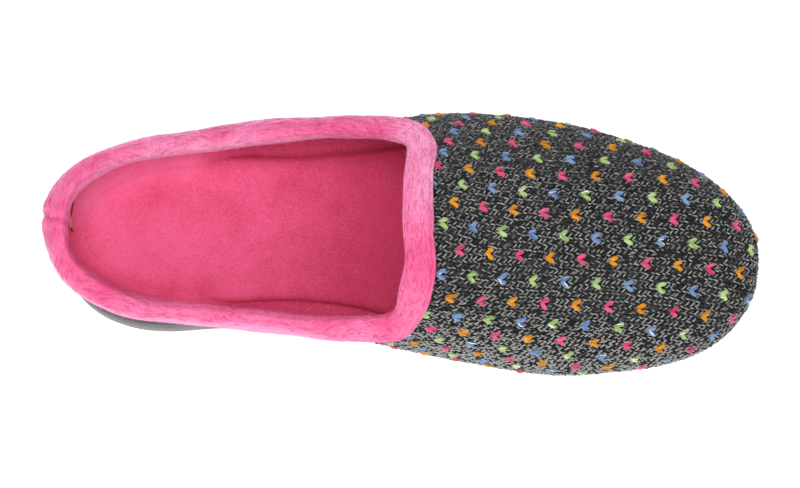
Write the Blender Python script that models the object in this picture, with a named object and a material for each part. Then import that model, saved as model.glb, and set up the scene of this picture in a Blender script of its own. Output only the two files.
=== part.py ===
"""Left-foot mule slipper: knitted upper, plush collar, plush insole and rubber outsole.

Sizes are in millimetres along the shoe: x from the heel to the toe, y towards the outer side of the foot, z up.
"""

import math

import bmesh
import bpy
import numpy as np

MM = 0.001

# Whole shoe
LENGTH = 260.0
TOE_TIP = LENGTH - 0.4
SIZE_CENTRE = (80.0, 1.0)
SEAT_GAP = 0.35
RIBS = 88
FINE_RAYS = 1441
DOME_STEPS = 70
TUCK_STEPS = 12
HALVINGS = 50
SHARP_ANGLE = math.radians(40)

# Upper wall
WALL = 2.4
EQUATOR_RISE = 6.0
UPPER_ROWS = 11
TURN_WEIGHT = 22.0
LEAST_TUCK = 0.7
FEATHER_INSET = 2.4
HEEL_BACK = 4.6
HEEL_ROUND = 52.0
HEEL_POWER = 2.1
TOE_ROUND = 190.0
TOE_POWER = 2.5

# Top line of the upper
TOPLINE_REAR = 42.0
TOPLINE_HEEL_LIFT = 1.5
THROAT_X = 134.0
THROAT_RISE = 42.0
THROAT_FROM = 88.0
THROAT_POWER = 7.0

# Last: half widths at the widest line, ridge place and height, section shape
LAST_COLUMNS = ("x", "lateral", "medial", "ridge_y", "ridge_z", "crown", "fill_lateral", "fill_medial")
LAST = (
    (4.0, 31.4, 28.0, 2.0, 86.0, 2.0, 2.0, 2.0),
    (25.0, 31.2, 28.0, 2.0, 86.0, 2.0, 2.0, 2.0),
    (45.0, 32.4, 28.6, 2.0, 86.0, 2.0, 2.0, 2.0),
    (65.0, 35.6, 29.5, 2.0, 86.0, 2.0, 2.0, 2.0),
    (90.0, 40.2, 31.4, 1.5, 86.0, 2.0, 1.9, 2.0),
    (115.0, 44.6, 33.8, 0.0, 85.5, 2.0, 1.75, 2.0),
    (141.0, 50.4, 38.0, -3.5, 80.5, 2.0, 1.65, 2.0),
    (165.0, 51.4, 41.0, -6.0, 71.0, 2.0, 1.65, 2.0),
    (187.0, 49.8, 42.7, -7.5, 63.2, 2.0, 1.7, 2.0),
    (210.0, 46.0, 41.0, -5.0, 57.6, 2.2, 2.0, 2.1),
    (230.0, 43.1, 40.2, -2.0, 55.4, 2.5, 2.2, 2.2),
    (250.0, 39.0, 38.6, 0.0, 54.8, 2.5, 2.2, 2.2),
    (260.0, 35.5, 35.3, 0.5, 54.6, 2.5, 2.2, 2.2),
)

# Bottom: half widths of the sole's edge and of the insole, and the height of the sole's platform
BOTTOM_COLUMNS = ("x", "sole_lateral", "sole_medial", "insole_lateral", "insole_medial", "platform")
BOTTOM = (
    (4.0, 33.6, 32.0, 26.8, 23.4, 21.8),
    (25.0, 33.6, 32.2, 26.8, 23.4, 21.6),
    (45.0, 33.8, 32.8, 28.0, 24.0, 21.0),
    (65.0, 34.8, 30.6, 29.8, 24.0, 20.0),
    (90.0, 37.4, 29.2, 31.2, 21.4, 18.0),
    (115.0, 42.0, 31.0, 35.6, 22.4, 15.8),
    (141.0, 47.4, 35.4, 40.4, 28.4, 14.2),
    (165.0, 49.0, 38.6, 43.0, 33.0, 13.4),
    (187.0, 47.6, 40.2, 41.8, 35.0, 13.2),
    (210.0, 44.2, 38.8, 38.0, 33.6, 13.8),
    (230.0, 41.4, 37.8, 34.6, 32.0, 15.6),
    (250.0, 37.4, 36.2, 30.4, 29.6, 18.6),
    (260.0, 34.0, 33.5, 27.0, 27.0, 20.4),
)

# Collar: its drop and bulge outside and inside the wall and the roll over the edge, by the place of the edge
COLLAR_COLUMNS = ("x", "outer_drop", "outer_bulge", "inner_drop", "inner_bulge", "roll")
COLLAR = (
    (5.0, 30.0, 5.6, 13.0, 2.6, 4.4),
    (20.0, 30.0, 4.4, 13.0, 2.2, 4.2),
    (45.0, 30.0, 3.8, 13.0, 1.9, 4.0),
    (70.0, 24.0, 3.8, 13.0, 1.8, 4.0),
    (95.0, 18.0, 3.8, 12.0, 1.8, 3.8),
    (120.0, 12.2, 2.9, 11.0, 1.8, 3.4),
    (133.0, 8.6, 2.8, 10.0, 1.8, 3.2),
)
COLLAR_FLOOR = 1.7
SLOT_OUTSIDE = (0.0, 0.35, 0.7, 1.0)
SLOT_INSIDE = (0.0, 0.5, 1.0)
HEM_ROUND = 2.0
HEM_SHARE = 0.6

# Collar section outside, as shares of the drop and the bulge
COLLAR_OUTSIDE = ((0.72, 1.04), (0.40, 1.06), (0.12, 0.98))
# Collar section over the edge, as shares of the roll, the outer bulge, the wall and the inner bulge
COLLAR_ROLL = (
    (0.45, 0.66, 0.0, 0.0),
    (0.88, 0.16, 0.0, 0.0),
    (1.00, 0.0, 0.45, 0.0),
    (0.86, 0.0, 0.90, 0.0),
    (0.42, 0.0, 1.00, 0.72),
)
# Collar section inside, as shares of the drop and the bulge
COLLAR_INSIDE = ((0.15, 1.0), (0.60, 1.0), (0.92, 0.6))

# Outsole: rows of its side from the ground up, as a share of the height and an inset from the outline
SIDE = (
    (0.00, 3.2),
    (0.05, 1.2),
    (0.14, 0.1),
    (0.20, 0.0),
    (0.56, 0.5),
    (0.59, 1.5),
    (0.66, 1.5),
    (0.69, 0.6),
    (0.94, 0.7),
    (1.00, 1.6),
)
SOLE_BACK = 4.6
SOLE_TIP = 256.0
SOLE_HEEL_ROUND = 40.0
SOLE_HEEL_POWER = 2.3
SOLE_STATIONS = 44
ARCH_LIFT = 3.2
ARCH_FROM = 82.0
ARCH_TO = 138.0
TOE_SPRING = 9.0
SPRING_FROM = 206.0
HEEL_BEVEL = 1.2
BEVEL_TO = 13.0

# Tread: plain grooves across the heel and the forefoot
GROOVE_WIDTH = 2.2
GROOVE_DEPTH = 1.4
GROOVE_EDGE = 9.0
HEEL_GROOVES = (22.0, 11.0, 5)
FORE_GROOVES = (145.0, 10.5, 7)

# Insole: rows of its side, as a share of its thickness and an inset
INSOLE_SIDE = (
    (0.00, 0.9),
    (0.18, 0.0),
    (0.55, 0.0),
    (0.80, 0.7),
    (0.95, 2.2),
    (1.00, 5.0),
)
INSOLE_THICKNESS = 5.6
INSOLE_BACK = 10.6
INSOLE_TIP = 250.0
INSOLE_HEEL_ROUND = 50.0
INSOLE_HEEL_POWER = 2.1
INSOLE_STATIONS = 40


def column(table, columns, name):
    """One column of a table."""
    return np.array([row[columns.index(name)] for row in table])


def smooth(table, columns, name, x):
    """The value of a column at x: a cubic curve through the rows, level beyond the first and the last."""
    xs = column(table, columns, "x")
    ys = column(table, columns, name)
    x = np.clip(np.asarray(x, float), xs[0], xs[-1])
    slope = np.gradient(ys, xs)
    i = np.clip(np.searchsorted(xs, x, side="right") - 1, 0, len(xs) - 2)
    span = xs[i + 1] - xs[i]
    t = (x - xs[i]) / span
    rise = ys[i] * (1 + 2 * t) * (1 - t) ** 2 + ys[i + 1] * t * t * (3 - 2 * t)
    return rise + span * (slope[i] * t * (1 - t) ** 2 - slope[i + 1] * t * t * (1 - t))


def last(name, x):
    """A measure of the last at x."""
    return smooth(LAST, LAST_COLUMNS, name, x)


def bottom(name, x):
    """A measure of the sole or the insole at x."""
    return smooth(BOTTOM, BOTTOM_COLUMNS, name, x)


def level(x, y):
    """0 on the ridge of the last, 1 on its widest line."""
    ridge = last("ridge_y", x)
    reach = np.where(y > ridge, last("lateral", x) - ridge, last("medial", x) + ridge)
    across = np.abs(y - ridge) / reach
    toe = np.clip((x - TOE_ROUND) / (TOE_TIP - TOE_ROUND), 0, None)
    heel = np.clip((HEEL_ROUND - x) / (HEEL_ROUND - HEEL_BACK), 0, None)
    return across ** last("crown", x) + toe**TOE_POWER + heel**HEEL_POWER


def equator(x):
    """Height of the last's widest line."""
    return bottom("platform", x) + EQUATOR_RISE


def dome(x, y):
    """Height of the last's surface over the widest line."""
    low = equator(x)
    fill = np.where(y > last("ridge_y", x), last("fill_lateral", x), last("fill_medial", x))
    return low + (last("ridge_z", x) - low) * np.clip(1 - level(x, y), 0, None) ** (1 / fill)


def topline(x):
    """Height of the upper's open edge as the shoe is seen from the side."""
    along = np.clip((x - THROAT_FROM) / (THROAT_X - THROAT_FROM), 0, None)
    heel = np.clip((HEEL_ROUND - x) / HEEL_ROUND, 0, None)
    return TOPLINE_REAR + TOPLINE_HEEL_LIFT * heel**2 + THROAT_RISE * along**THROAT_POWER


def crossing(value, angles):
    """Distance from the centre, along each ray, at which a falling value reaches zero."""
    near = np.zeros(len(angles))
    far = np.full(len(angles), LENGTH)
    for _ in range(HALVINGS):
        middle = (near + far) / 2
        positive = value(*ray(angles, middle)) > 0
        near = np.where(positive, middle, near)
        far = np.where(positive, far, middle)
    return near


def ray(angles, distance):
    """Plan place at a distance from the centre along each ray."""
    return SIZE_CENTRE[0] + distance * np.cos(angles), SIZE_CENTRE[1] + distance * np.sin(angles)


def rim_distance(angles):
    """Distance of the upper's open edge."""
    return crossing(lambda x, y: dome(x, y) - topline(x), angles)


def edge_distance(angles):
    """Distance of the last's widest line."""
    return crossing(lambda x, y: 1 - level(x, y), angles)


def feather_distance(angles):
    """Distance of the line where the upper is turned in on the sole's platform."""

    def margin(x, y):
        half = np.where(y > 0, bottom("sole_lateral", x), bottom("sole_medial", x))
        return half * end_shape(x, SOLE_BACK, SOLE_TIP, SOLE_HEEL_ROUND, SOLE_HEEL_POWER) - np.abs(y)

    return crossing(margin, angles) - FEATHER_INSET


def end_shape(x, back, tip, heel_round, heel_power):
    """Share of the half width that the rounded heel and toe leave at x."""
    toe = np.clip((x - TOE_ROUND) / (tip - TOE_ROUND), 0, 1)
    heel = np.clip((heel_round - x) / (heel_round - back), 0, 1)
    return (1 - toe**TOE_POWER) ** (1 / TOE_POWER) * (1 - heel**heel_power) ** (1 / heel_power)


def even_angles(count):
    """Ray angles that space the ribs evenly along the open edge and the widest line together."""
    fine = np.linspace(0, 2 * math.pi, FINE_RAYS)
    along = np.zeros(len(fine))
    for distance in (rim_distance(fine), edge_distance(fine)):
        x, y = ray(fine, distance)
        steps = np.hypot(np.diff(x), np.diff(y))
        along[1:] += np.cumsum(steps) / steps.sum()
    return np.interp(np.arange(count) / count * along[-1], along, fine)


def unit(vectors):
    """Vectors scaled to length 1."""
    return vectors / np.linalg.norm(vectors, axis=-1, keepdims=True)


class Ribs:
    """Lines of the upper's outer surface, each from the open edge down to the feather edge on the sole."""

    def __init__(self, count):
        angles = even_angles(count)
        rim = rim_distance(angles)[:, None]
        edge = edge_distance(angles)[:, None]
        fall = np.sin(np.linspace(0, math.pi / 2, DOME_STEPS))[None, :]
        wide = angles[:, None] + 0 * fall
        x, y = ray(wide, rim + (edge - rim) * fall)
        over = np.stack([x, y, dome(x, y)], axis=-1)
        turn = np.linspace(0, math.pi / 2, TUCK_STEPS)[None, 1:]
        tuck = np.maximum(LEAST_TUCK, edge - feather_distance(angles)[:, None])
        x, y = ray(angles[:, None] + 0 * turn, edge - tuck * (1 - np.cos(turn)))
        low = bottom("platform", x) + SEAT_GAP
        high = over[:, -1:, 2]
        under = np.stack([x, y, high - (high - low) * np.sin(turn)], axis=-1)
        self.points = np.concatenate([over, under], axis=1)
        around = np.roll(self.points, -1, axis=0) - np.roll(self.points, 1, axis=0)
        down = np.gradient(self.points, axis=1)
        self.normals = unit(np.cross(down, around))
        steps = np.linalg.norm(np.diff(self.points, axis=1), axis=-1)
        self.along = np.concatenate([np.zeros((count, 1)), np.cumsum(steps, axis=1)], axis=1)
        self.up = unit(self.points[:, 0] - self.points[:, 1])
        self.count = count
        heading = unit(np.diff(self.points, axis=1))
        turn = np.linalg.norm(np.diff(heading, axis=1), axis=-1)
        weight = steps + TURN_WEIGHT * np.concatenate([np.zeros((count, 1)), turn], axis=1)
        self.weight = np.concatenate([np.zeros((count, 1)), np.cumsum(weight, axis=1)], axis=1)

    def rows_down(self, rib, marks, count):
        """Distances down a rib: the marks, then rows to its end, closer together where it turns."""
        start = np.interp(marks[-1], self.along[rib], self.weight[rib])
        weights = np.linspace(start, self.weight[rib, -1], count + 1)[1:]
        return [*marks, *np.interp(weights, self.weight[rib], self.along[rib])]

    def place(self, rib, down, out):
        """The point a distance down a rib from the open edge and a distance out from the surface."""
        along = self.along[rib]
        at = max(down, 0.0)
        point = np.array([np.interp(at, along, self.points[rib, :, k]) for k in range(3)])
        normal = unit(np.array([np.interp(at, along, self.normals[rib, :, k]) for k in range(3)]))
        return point + out * normal + max(-down, 0.0) * self.up[rib]

    def drop_to(self, rib, clearance):
        """Distance down a rib at which it is this far over the sole's platform."""
        over = self.points[rib, :, 2] - bottom("platform", self.points[rib, :, 0]) - clearance
        return float(np.interp(0.0, -over, self.along[rib]))


def new_object(name, mesh_builder, material, parent):
    """An object with the mesh that the builder fills in, its faces turned out."""
    mesh = bpy.data.meshes.new(name)
    work = bmesh.new()
    mesh_builder(work)
    bmesh.ops.recalc_face_normals(work, faces=work.faces)
    work.to_mesh(mesh)
    work.free()
    mesh.shade_smooth()
    mesh.set_sharp_from_angle(angle=SHARP_ANGLE)
    mesh.materials.append(material)
    obj = bpy.data.objects.new(name, mesh)
    bpy.context.collection.objects.link(obj)
    obj.parent = parent
    return obj


def add_ring_grid(work, rows, closed):
    """Quads between rows of points that each run round, the last row joined to the first when closed."""
    made = [[work.verts.new(point * MM) for point in row] for row in rows]
    pairs = list(zip(made, made[1:]))
    if closed:
        pairs.append((made[-1], made[0]))
    for first, second in pairs:
        for i in range(len(first)):
            j = (i + 1) % len(first)
            work.faces.new((first[i], first[j], second[j], second[i]))
    return made


def add_ladder_cap(work, ring):
    """A cap across a ring that starts at the heel: rungs join its two sides."""
    half = len(ring) // 2
    work.faces.new((ring[0], ring[1], ring[-1]))
    for i in range(1, half - 1):
        work.faces.new((ring[i], ring[i + 1], ring[-i - 1], ring[-i]))
    work.faces.new((ring[half - 1], ring[half], ring[half + 1]))


def collar_size(ribs, rib):
    """Sizes of the collar at a rib, its outer hem kept over the sole."""
    edge_x = ribs.points[rib, 0, 0]
    size = {name: float(smooth(COLLAR, COLLAR_COLUMNS, name, edge_x)) for name in COLLAR_COLUMNS[1:]}
    size["outer_drop"] = min(size["outer_drop"], ribs.drop_to(rib, COLLAR_FLOOR))
    return size


def upper_mesh(ribs):
    """The hollow upper: its outer and inner surface, joined round the open edge and the feather edge."""

    def fill(work):
        sections = []
        for i in range(ribs.count):
            size = collar_size(ribs, i)
            outer = ribs.rows_down(i, [share * size["outer_drop"] for share in SLOT_OUTSIDE], UPPER_ROWS)
            inner = ribs.rows_down(i, [share * size["inner_drop"] for share in SLOT_INSIDE], UPPER_ROWS)
            section = [ribs.place(i, down, 0.0) for down in outer]
            section += [ribs.place(i, down, -WALL) for down in reversed(inner)]
            sections.append(section)
        add_ring_grid(work, np.array(sections).transpose(1, 0, 2), closed=True)

    return fill


def collar_profile(size):
    """Section of the collar, as distances down the wall and out from it, from the outer hem over the edge."""
    drop = size["outer_drop"]
    deep = size["inner_drop"]
    outer = size["outer_bulge"]
    inner = size["inner_bulge"]
    hem = min(HEM_ROUND, HEM_SHARE * outer)
    roll = size["roll"] + SEAT_GAP
    slot = -WALL - SEAT_GAP
    return (
        (drop, outer - hem),
        (drop - 0.7 * hem, outer - 0.25 * hem),
        *((down * drop, bulge * outer) for down, bulge in COLLAR_OUTSIDE),
        *((-up * roll, out * outer - wall * WALL - back * inner) for up, out, wall, back in COLLAR_ROLL),
        *((down * deep, -WALL - bulge * inner) for down, bulge in COLLAR_INSIDE),
        *((share * deep, slot) for share in reversed(SLOT_INSIDE)),
        (-SEAT_GAP, slot),
        (-SEAT_GAP, SEAT_GAP),
        *((share * drop, SEAT_GAP) for share in SLOT_OUTSIDE),
    )


def collar_mesh(ribs):
    """The plush cuff folded over the open edge, from the upper's own ribs."""

    def fill(work):
        sections = []
        for i in range(ribs.count):
            profile = collar_profile(collar_size(ribs, i))
            sections.append([ribs.place(i, down, out) for down, out in profile])
        add_ring_grid(work, np.array(sections).transpose(1, 0, 2), closed=True)

    return fill


def sole_bottom(x):
    """Height of the outsole's underside: flat heel and forefoot, lifted waist, rising toe."""
    arch = np.clip((x - ARCH_FROM) / (ARCH_TO - ARCH_FROM), 0, 1)
    toe = np.clip((x - SPRING_FROM) / (LENGTH - SPRING_FROM), 0, None)
    heel = np.clip((BEVEL_TO - x) / (BEVEL_TO - SOLE_BACK), 0, None)
    return ARCH_LIFT * np.sin(math.pi * arch) ** 2 + TOE_SPRING * toe**2 + HEEL_BEVEL * heel**2


def platform(x):
    """Height of the outsole's upper face."""
    return bottom("platform", x)


def insole_seat(x):
    """Height of the insole's underside."""
    return platform(x) + SEAT_GAP


def insole_top(x):
    """Height of the insole's upper face."""
    return insole_seat(x) + INSOLE_THICKNESS


def outline(sides, back, tip, heel_round, heel_power, stations):
    """A plan outline from the heel along the outer side to the toe and back along the inner side."""
    turn = np.linspace(0, math.pi, stations)
    x = back + (tip - back) * (1 - np.cos(turn)) / 2
    shape = end_shape(x, back, tip, heel_round, heel_power)
    lateral = np.stack([x, bottom(sides[0], x) * shape], axis=1)
    medial = np.stack([x, -bottom(sides[1], x) * shape], axis=1)
    middle = (lateral[[0, -1]] + medial[[0, -1]]) / 2
    return np.concatenate([middle[:1], lateral[1:-1], middle[1:], medial[-2:0:-1]])


def inset(loop, distance):
    """A plan outline moved inwards."""
    along = unit(np.roll(loop, -1, axis=0) - np.roll(loop, 1, axis=0))
    return loop + distance * np.stack([along[:, 1], -along[:, 0]], axis=1)


def stacked_rows(loop, side, low, high):
    """Rows of points up the side of a flat piece between two heights that change along it."""
    rows = []
    for share, distance in side:
        plan = inset(loop, distance)
        base = low(plan[:, 0])
        rows.append(np.column_stack([plan, base + share * (high(plan[:, 0]) - base)]))
    return rows


def flat_mesh(loop, side, low, high):
    """A flat piece with a shaped side, capped below and above."""

    def fill(work):
        rings = add_ring_grid(work, stacked_rows(loop, side, low, high), closed=False)
        add_ladder_cap(work, rings[0])
        add_ladder_cap(work, rings[-1])

    return fill


def groove_mesh(starts):
    """Bars across the sole that cut its tread."""

    def fill(work):
        for first, pitch, count in starts:
            for k in range(count):
                x = first + k * pitch
                lateral = float(bottom("sole_lateral", x)) - GROOVE_EDGE
                medial = float(bottom("sole_medial", x)) - GROOVE_EDGE
                made = bmesh.ops.create_cube(work, size=1.0)["verts"]
                size = (GROOVE_WIDTH * MM, (lateral + medial) * MM, 2 * GROOVE_DEPTH * MM)
                bmesh.ops.scale(work, vec=size, verts=made)
                bmesh.ops.translate(work, vec=(x * MM, (lateral - medial) / 2 * MM, 0), verts=made)

    return fill


def cut(target, cutter):
    """The cutter taken out of the target, then removed."""
    modifier = target.modifiers.new("tread", "BOOLEAN")
    modifier.operation = "DIFFERENCE"
    modifier.solver = "EXACT"
    modifier.object = cutter
    bpy.context.view_layer.objects.active = target
    bpy.ops.object.modifier_apply(modifier=modifier.name)
    bpy.data.objects.remove(cutter)


def finish(name, colour, roughness, sheen):
    """A plain surface finish."""
    material = bpy.data.materials.new(name)
    material.use_nodes = True
    shader = material.node_tree.nodes["Principled BSDF"]
    shader.inputs["Base Color"].default_value = (*colour, 1.0)
    shader.inputs["Roughness"].default_value = roughness
    shader.inputs["Sheen Weight"].default_value = sheen
    return material


def main():
    for obj in list(bpy.data.objects):
        bpy.data.objects.remove(obj)
    root = bpy.data.objects.new("slipper", None)
    bpy.context.collection.objects.link(root)

    knit = finish("charcoal_knit", (0.06, 0.06, 0.065), 0.9, 0.3)
    plush = finish("pink_plush", (0.90, 0.16, 0.31), 0.9, 0.6)
    pile = finish("deep_pink_plush", (0.78, 0.09, 0.20), 0.95, 0.6)
    rubber = finish("grey_rubber", (0.12, 0.12, 0.12), 0.7, 0.0)

    ribs = Ribs(RIBS)
    pieces = [
        new_object("upper", upper_mesh(ribs), knit, root),
        new_object("collar", collar_mesh(ribs), plush, root),
    ]

    sole_sides = ("sole_lateral", "sole_medial")
    loop = outline(sole_sides, SOLE_BACK, SOLE_TIP, SOLE_HEEL_ROUND, SOLE_HEEL_POWER, SOLE_STATIONS)
    sole = new_object("outsole", flat_mesh(loop, SIDE, sole_bottom, platform), rubber, root)
    cut(sole, new_object("groove_cutter", groove_mesh((HEEL_GROOVES, FORE_GROOVES)), rubber, root))
    pieces.append(sole)

    pad_sides = ("insole_lateral", "insole_medial")
    loop = outline(pad_sides, INSOLE_BACK, INSOLE_TIP, INSOLE_HEEL_ROUND, INSOLE_HEEL_POWER, INSOLE_STATIONS)
    pieces.append(new_object("insole", flat_mesh(loop, INSOLE_SIDE, insole_seat, insole_top), pile, root))

    corners = np.array([corner for piece in pieces for corner in piece.bound_box])
    low = corners.min(axis=0)
    high = corners.max(axis=0)
    root.location = (-(low[0] + high[0]) / 2, -(low[1] + high[1]) / 2, -low[2])


main()
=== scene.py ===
"""Looks of a left-foot mule slipper: knitted vamp, plush collar, lining and footbed, moulded rubber sole.

Sizes are in millimetres in the shoe's own axes: x from the heel to the toe, y towards the outer side of the
foot, z up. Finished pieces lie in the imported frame, in metres.
"""

import logging
import math
from dataclasses import dataclass
from enum import Enum
from typing import Any, Callable, Optional

import bpy
import numpy as np
from mathutils import Matrix, Vector
from mathutils.kdtree import KDTree


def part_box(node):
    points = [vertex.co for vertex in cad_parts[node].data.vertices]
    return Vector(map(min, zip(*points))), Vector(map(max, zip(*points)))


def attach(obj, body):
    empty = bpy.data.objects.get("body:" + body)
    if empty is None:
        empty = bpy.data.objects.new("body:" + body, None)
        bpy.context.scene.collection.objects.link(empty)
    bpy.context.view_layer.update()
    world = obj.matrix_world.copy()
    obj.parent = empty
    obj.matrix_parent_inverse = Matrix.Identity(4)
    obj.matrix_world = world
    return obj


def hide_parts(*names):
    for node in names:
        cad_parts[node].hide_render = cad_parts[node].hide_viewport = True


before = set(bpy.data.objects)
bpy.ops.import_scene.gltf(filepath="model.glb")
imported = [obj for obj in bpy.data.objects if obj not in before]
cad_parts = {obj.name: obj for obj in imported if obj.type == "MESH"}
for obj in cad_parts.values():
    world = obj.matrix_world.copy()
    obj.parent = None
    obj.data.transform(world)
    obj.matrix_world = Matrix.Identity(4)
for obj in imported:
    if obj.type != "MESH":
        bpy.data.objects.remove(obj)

Array = np.ndarray
Chance = np.random.Generator
Material = bpy.types.Material
Piece = bpy.types.Object
Pair = tuple[float, float]
Triple = tuple[float, float, float]
Row = tuple[float, ...]
ArrayPair = tuple[Array, Array]
# Soft marks: for each a place along, a place across, a size and a change
Marks = tuple[Row, ...]
LOG = logging.getLogger("mule_slipper")
MM = 0.001
MERGE_MM = 0.002
SHADE = "shade"
# The part of a noise texture's values that shows
NOISE_MIDDLE = {"From Min": 0.3, "From Max": 0.7}


class Slot(Enum):
    """The record's material slots."""

    OUTSOLE = "outsole"
    UPPER = "upper"
    COLLAR = "collar"
    INSOLE = "insole"


class Side(Enum):
    """The two sides of the foot, with the sign of y."""

    LATERAL = 1.0
    MEDIAL = -1.0


# Small tools


def unit(vectors: Array) -> Array:
    """Vectors scaled to length 1."""
    return vectors / np.maximum(np.linalg.norm(vectors, axis=-1, keepdims=True), 1e-12)


def ease(value: Array, start: float, end: float) -> Array:
    """A soft step from 0 at start to 1 at end."""
    t = np.clip((value - start) / (end - start), 0.0, 1.0)
    return t * t * (3.0 - 2.0 * t)


def bell(value: Array, width: float) -> Array:
    """A soft bump of height 1 round zero."""
    return np.exp(-((value / width) ** 2))


def square_to(vectors: Array, normals: Array) -> Array:
    """Unit directions of vectors with their part along the normals taken out."""
    return unit(vectors - np.sum(vectors * normals, axis=-1, keepdims=True) * normals)


def spaced(start: float, end: float, count: int) -> Array:
    """Places from start to end, closer together towards both."""
    return start + (end - start) * (1 - np.cos(np.linspace(0, math.pi, count))) / 2


def along_line(at: Array, along: Array, line: Array) -> Array:
    """Values of a line of triples at distances along it."""
    return np.stack([np.interp(at, along, line[:, k]) for k in range(3)], axis=-1)


def run_length(points: Array) -> Array:
    """Distance along lines of points, from 0 at their first point."""
    steps = np.linalg.norm(np.diff(points, axis=-2), axis=-1)
    return np.concatenate([np.zeros(steps.shape[:-1] + (1,)), np.cumsum(steps, axis=-1)], axis=-1)


def linear(hex_code: str) -> Row:
    """The linear colour of an sRGB hex value."""
    parts = [int(hex_code[i : i + 2], 16) / 255.0 for i in (1, 3, 5)]
    return (*(c / 12.92 if c <= 0.04045 else ((c + 0.055) / 1.055) ** 2.4 for c in parts), 1.0)


def add_node(
    tree: bpy.types.NodeTree, kind: str, settings: Optional[dict] = None, feeds: Optional[dict] = None
) -> bpy.types.Node:
    """Adds a shader node.

    Args:
        tree: The material's node tree.
        kind: The node's type, without the start that all shader nodes share.
        settings: Properties to set on the node.
        feeds: For each input, by name or number, a value or another node's output to link.

    Returns:
        The new node.
    """
    node = tree.nodes.new(f"ShaderNode{kind}")
    for name, value in (settings or {}).items():
        setattr(node, name, value)
    for name, value in (feeds or {}).items():
        if isinstance(value, bpy.types.NodeSocket):
            tree.links.new(value, node.inputs[name])
        else:
            node.inputs[name].default_value = value
    return node


def start_material(name: str, feeds: dict[str, Any]) -> tuple[Material, bpy.types.NodeTree, bpy.types.Node]:
    """A new material with a Principled shader.

    Args:
        name: The material's name.
        feeds: Constant values for the shader's sockets.

    Returns:
        The material, its node tree and its shader.
    """
    material = bpy.data.materials.new(name)
    material.use_nodes = True
    tree = material.node_tree
    shader = tree.nodes["Principled BSDF"]
    for socket, value in feeds.items():
        shader.inputs[socket].default_value = value
    return material, tree, shader


def per_metre(size_mm: float) -> float:
    """A noise texture's scale for marks of this size."""
    return 1.0 / (size_mm * MM)


# Finishes


@dataclass(frozen=True)
class PlushFinish:
    """Short-pile polyester plush: matt fibres, deeper between tufts, pale by sheen and painted sheen where
    they turn away.
    """

    name: str
    deep: str
    pile: str
    pale: str
    sheen_tint: str
    sheen: float = 0.9
    sheen_roughness: float = 0.35
    patch_mm: float = 14.0
    patch_edge: Pair = (0.42, 0.66)
    patch_share: float = 0.16
    nap_mm: float = 0.8
    nap_bend: float = 0.6
    ripple: float = 0.15
    relief: float = 0.45
    relief_mm: float = 0.4
    roughness: float = 0.92
    specular: float = 0.15

    def build(self) -> Material:
        """The material: the shade runs from the deep tone through the pile's own to the pale one."""
        feeds = {"Roughness": self.roughness, "Specular IOR Level": self.specular, "Sheen Weight": self.sheen}
        feeds |= {"Sheen Roughness": self.sheen_roughness, "Sheen Tint": linear(self.sheen_tint)}
        material, tree, shader = start_material(self.name, feeds)
        place = add_node(tree, "TexCoord").outputs["Object"]
        tuft = add_node(tree, "Attribute", {"attribute_name": SHADE}).outputs["Fac"]
        # Brushed patches, where the pile lies another way and looks deeper
        feeds = {"Vector": place, "Scale": per_metre(self.patch_mm), "Detail": 3.0}
        patches = add_node(tree, "TexNoise", None, feeds).outputs["Fac"]
        low, high = self.patch_edge
        feeds = {"Value": patches, "From Min": low, "From Max": high, "To Max": self.patch_share}
        soft = {"interpolation_type": "SMOOTHSTEP"}
        tone_marks = add_node(tree, "MapRange", soft, feeds).outputs["Result"]
        lain = add_node(tree, "Math", {"operation": "SUBTRACT"}, {0: tuft, 1: tone_marks}).outputs[0]
        # Ripples where the pile parts
        feeds = {"Vector": place, "Scale": per_metre(self.nap_mm), "Detail": 2.0, "Distortion": self.nap_bend}
        nap = add_node(tree, "TexNoise", None, feeds).outputs["Fac"]
        feeds = {"Value": nap, **NOISE_MIDDLE, "To Min": -self.ripple, "To Max": self.ripple}
        parted = add_node(tree, "MapRange", {"clamp": False}, feeds).outputs["Result"]
        tone = add_node(tree, "Math", {"operation": "ADD"}, {0: lain, 1: parted}).outputs[0]
        # The lower half of the tones runs to the pile's own colour, the upper half on to the pale one
        colour = linear(self.deep)
        for start, end, name in ((0.0, 0.5, self.pile), (0.5, 1.0, self.pale)):
            feeds = {"Value": tone, "From Min": start, "From Max": end}
            share = add_node(tree, "MapRange", None, feeds).outputs["Result"]
            feeds = {0: share, 6: colour, 7: linear(name)}
            colour = add_node(tree, "Mix", {"data_type": "RGBA"}, feeds).outputs[2]
        tree.links.new(colour, shader.inputs["Base Color"])
        feeds = {"Height": nap, "Strength": self.relief, "Distance": self.relief_mm * MM}
        bump = add_node(tree, "Bump", None, feeds)
        tree.links.new(bump.outputs["Normal"], shader.inputs["Normal"])
        return material


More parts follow.
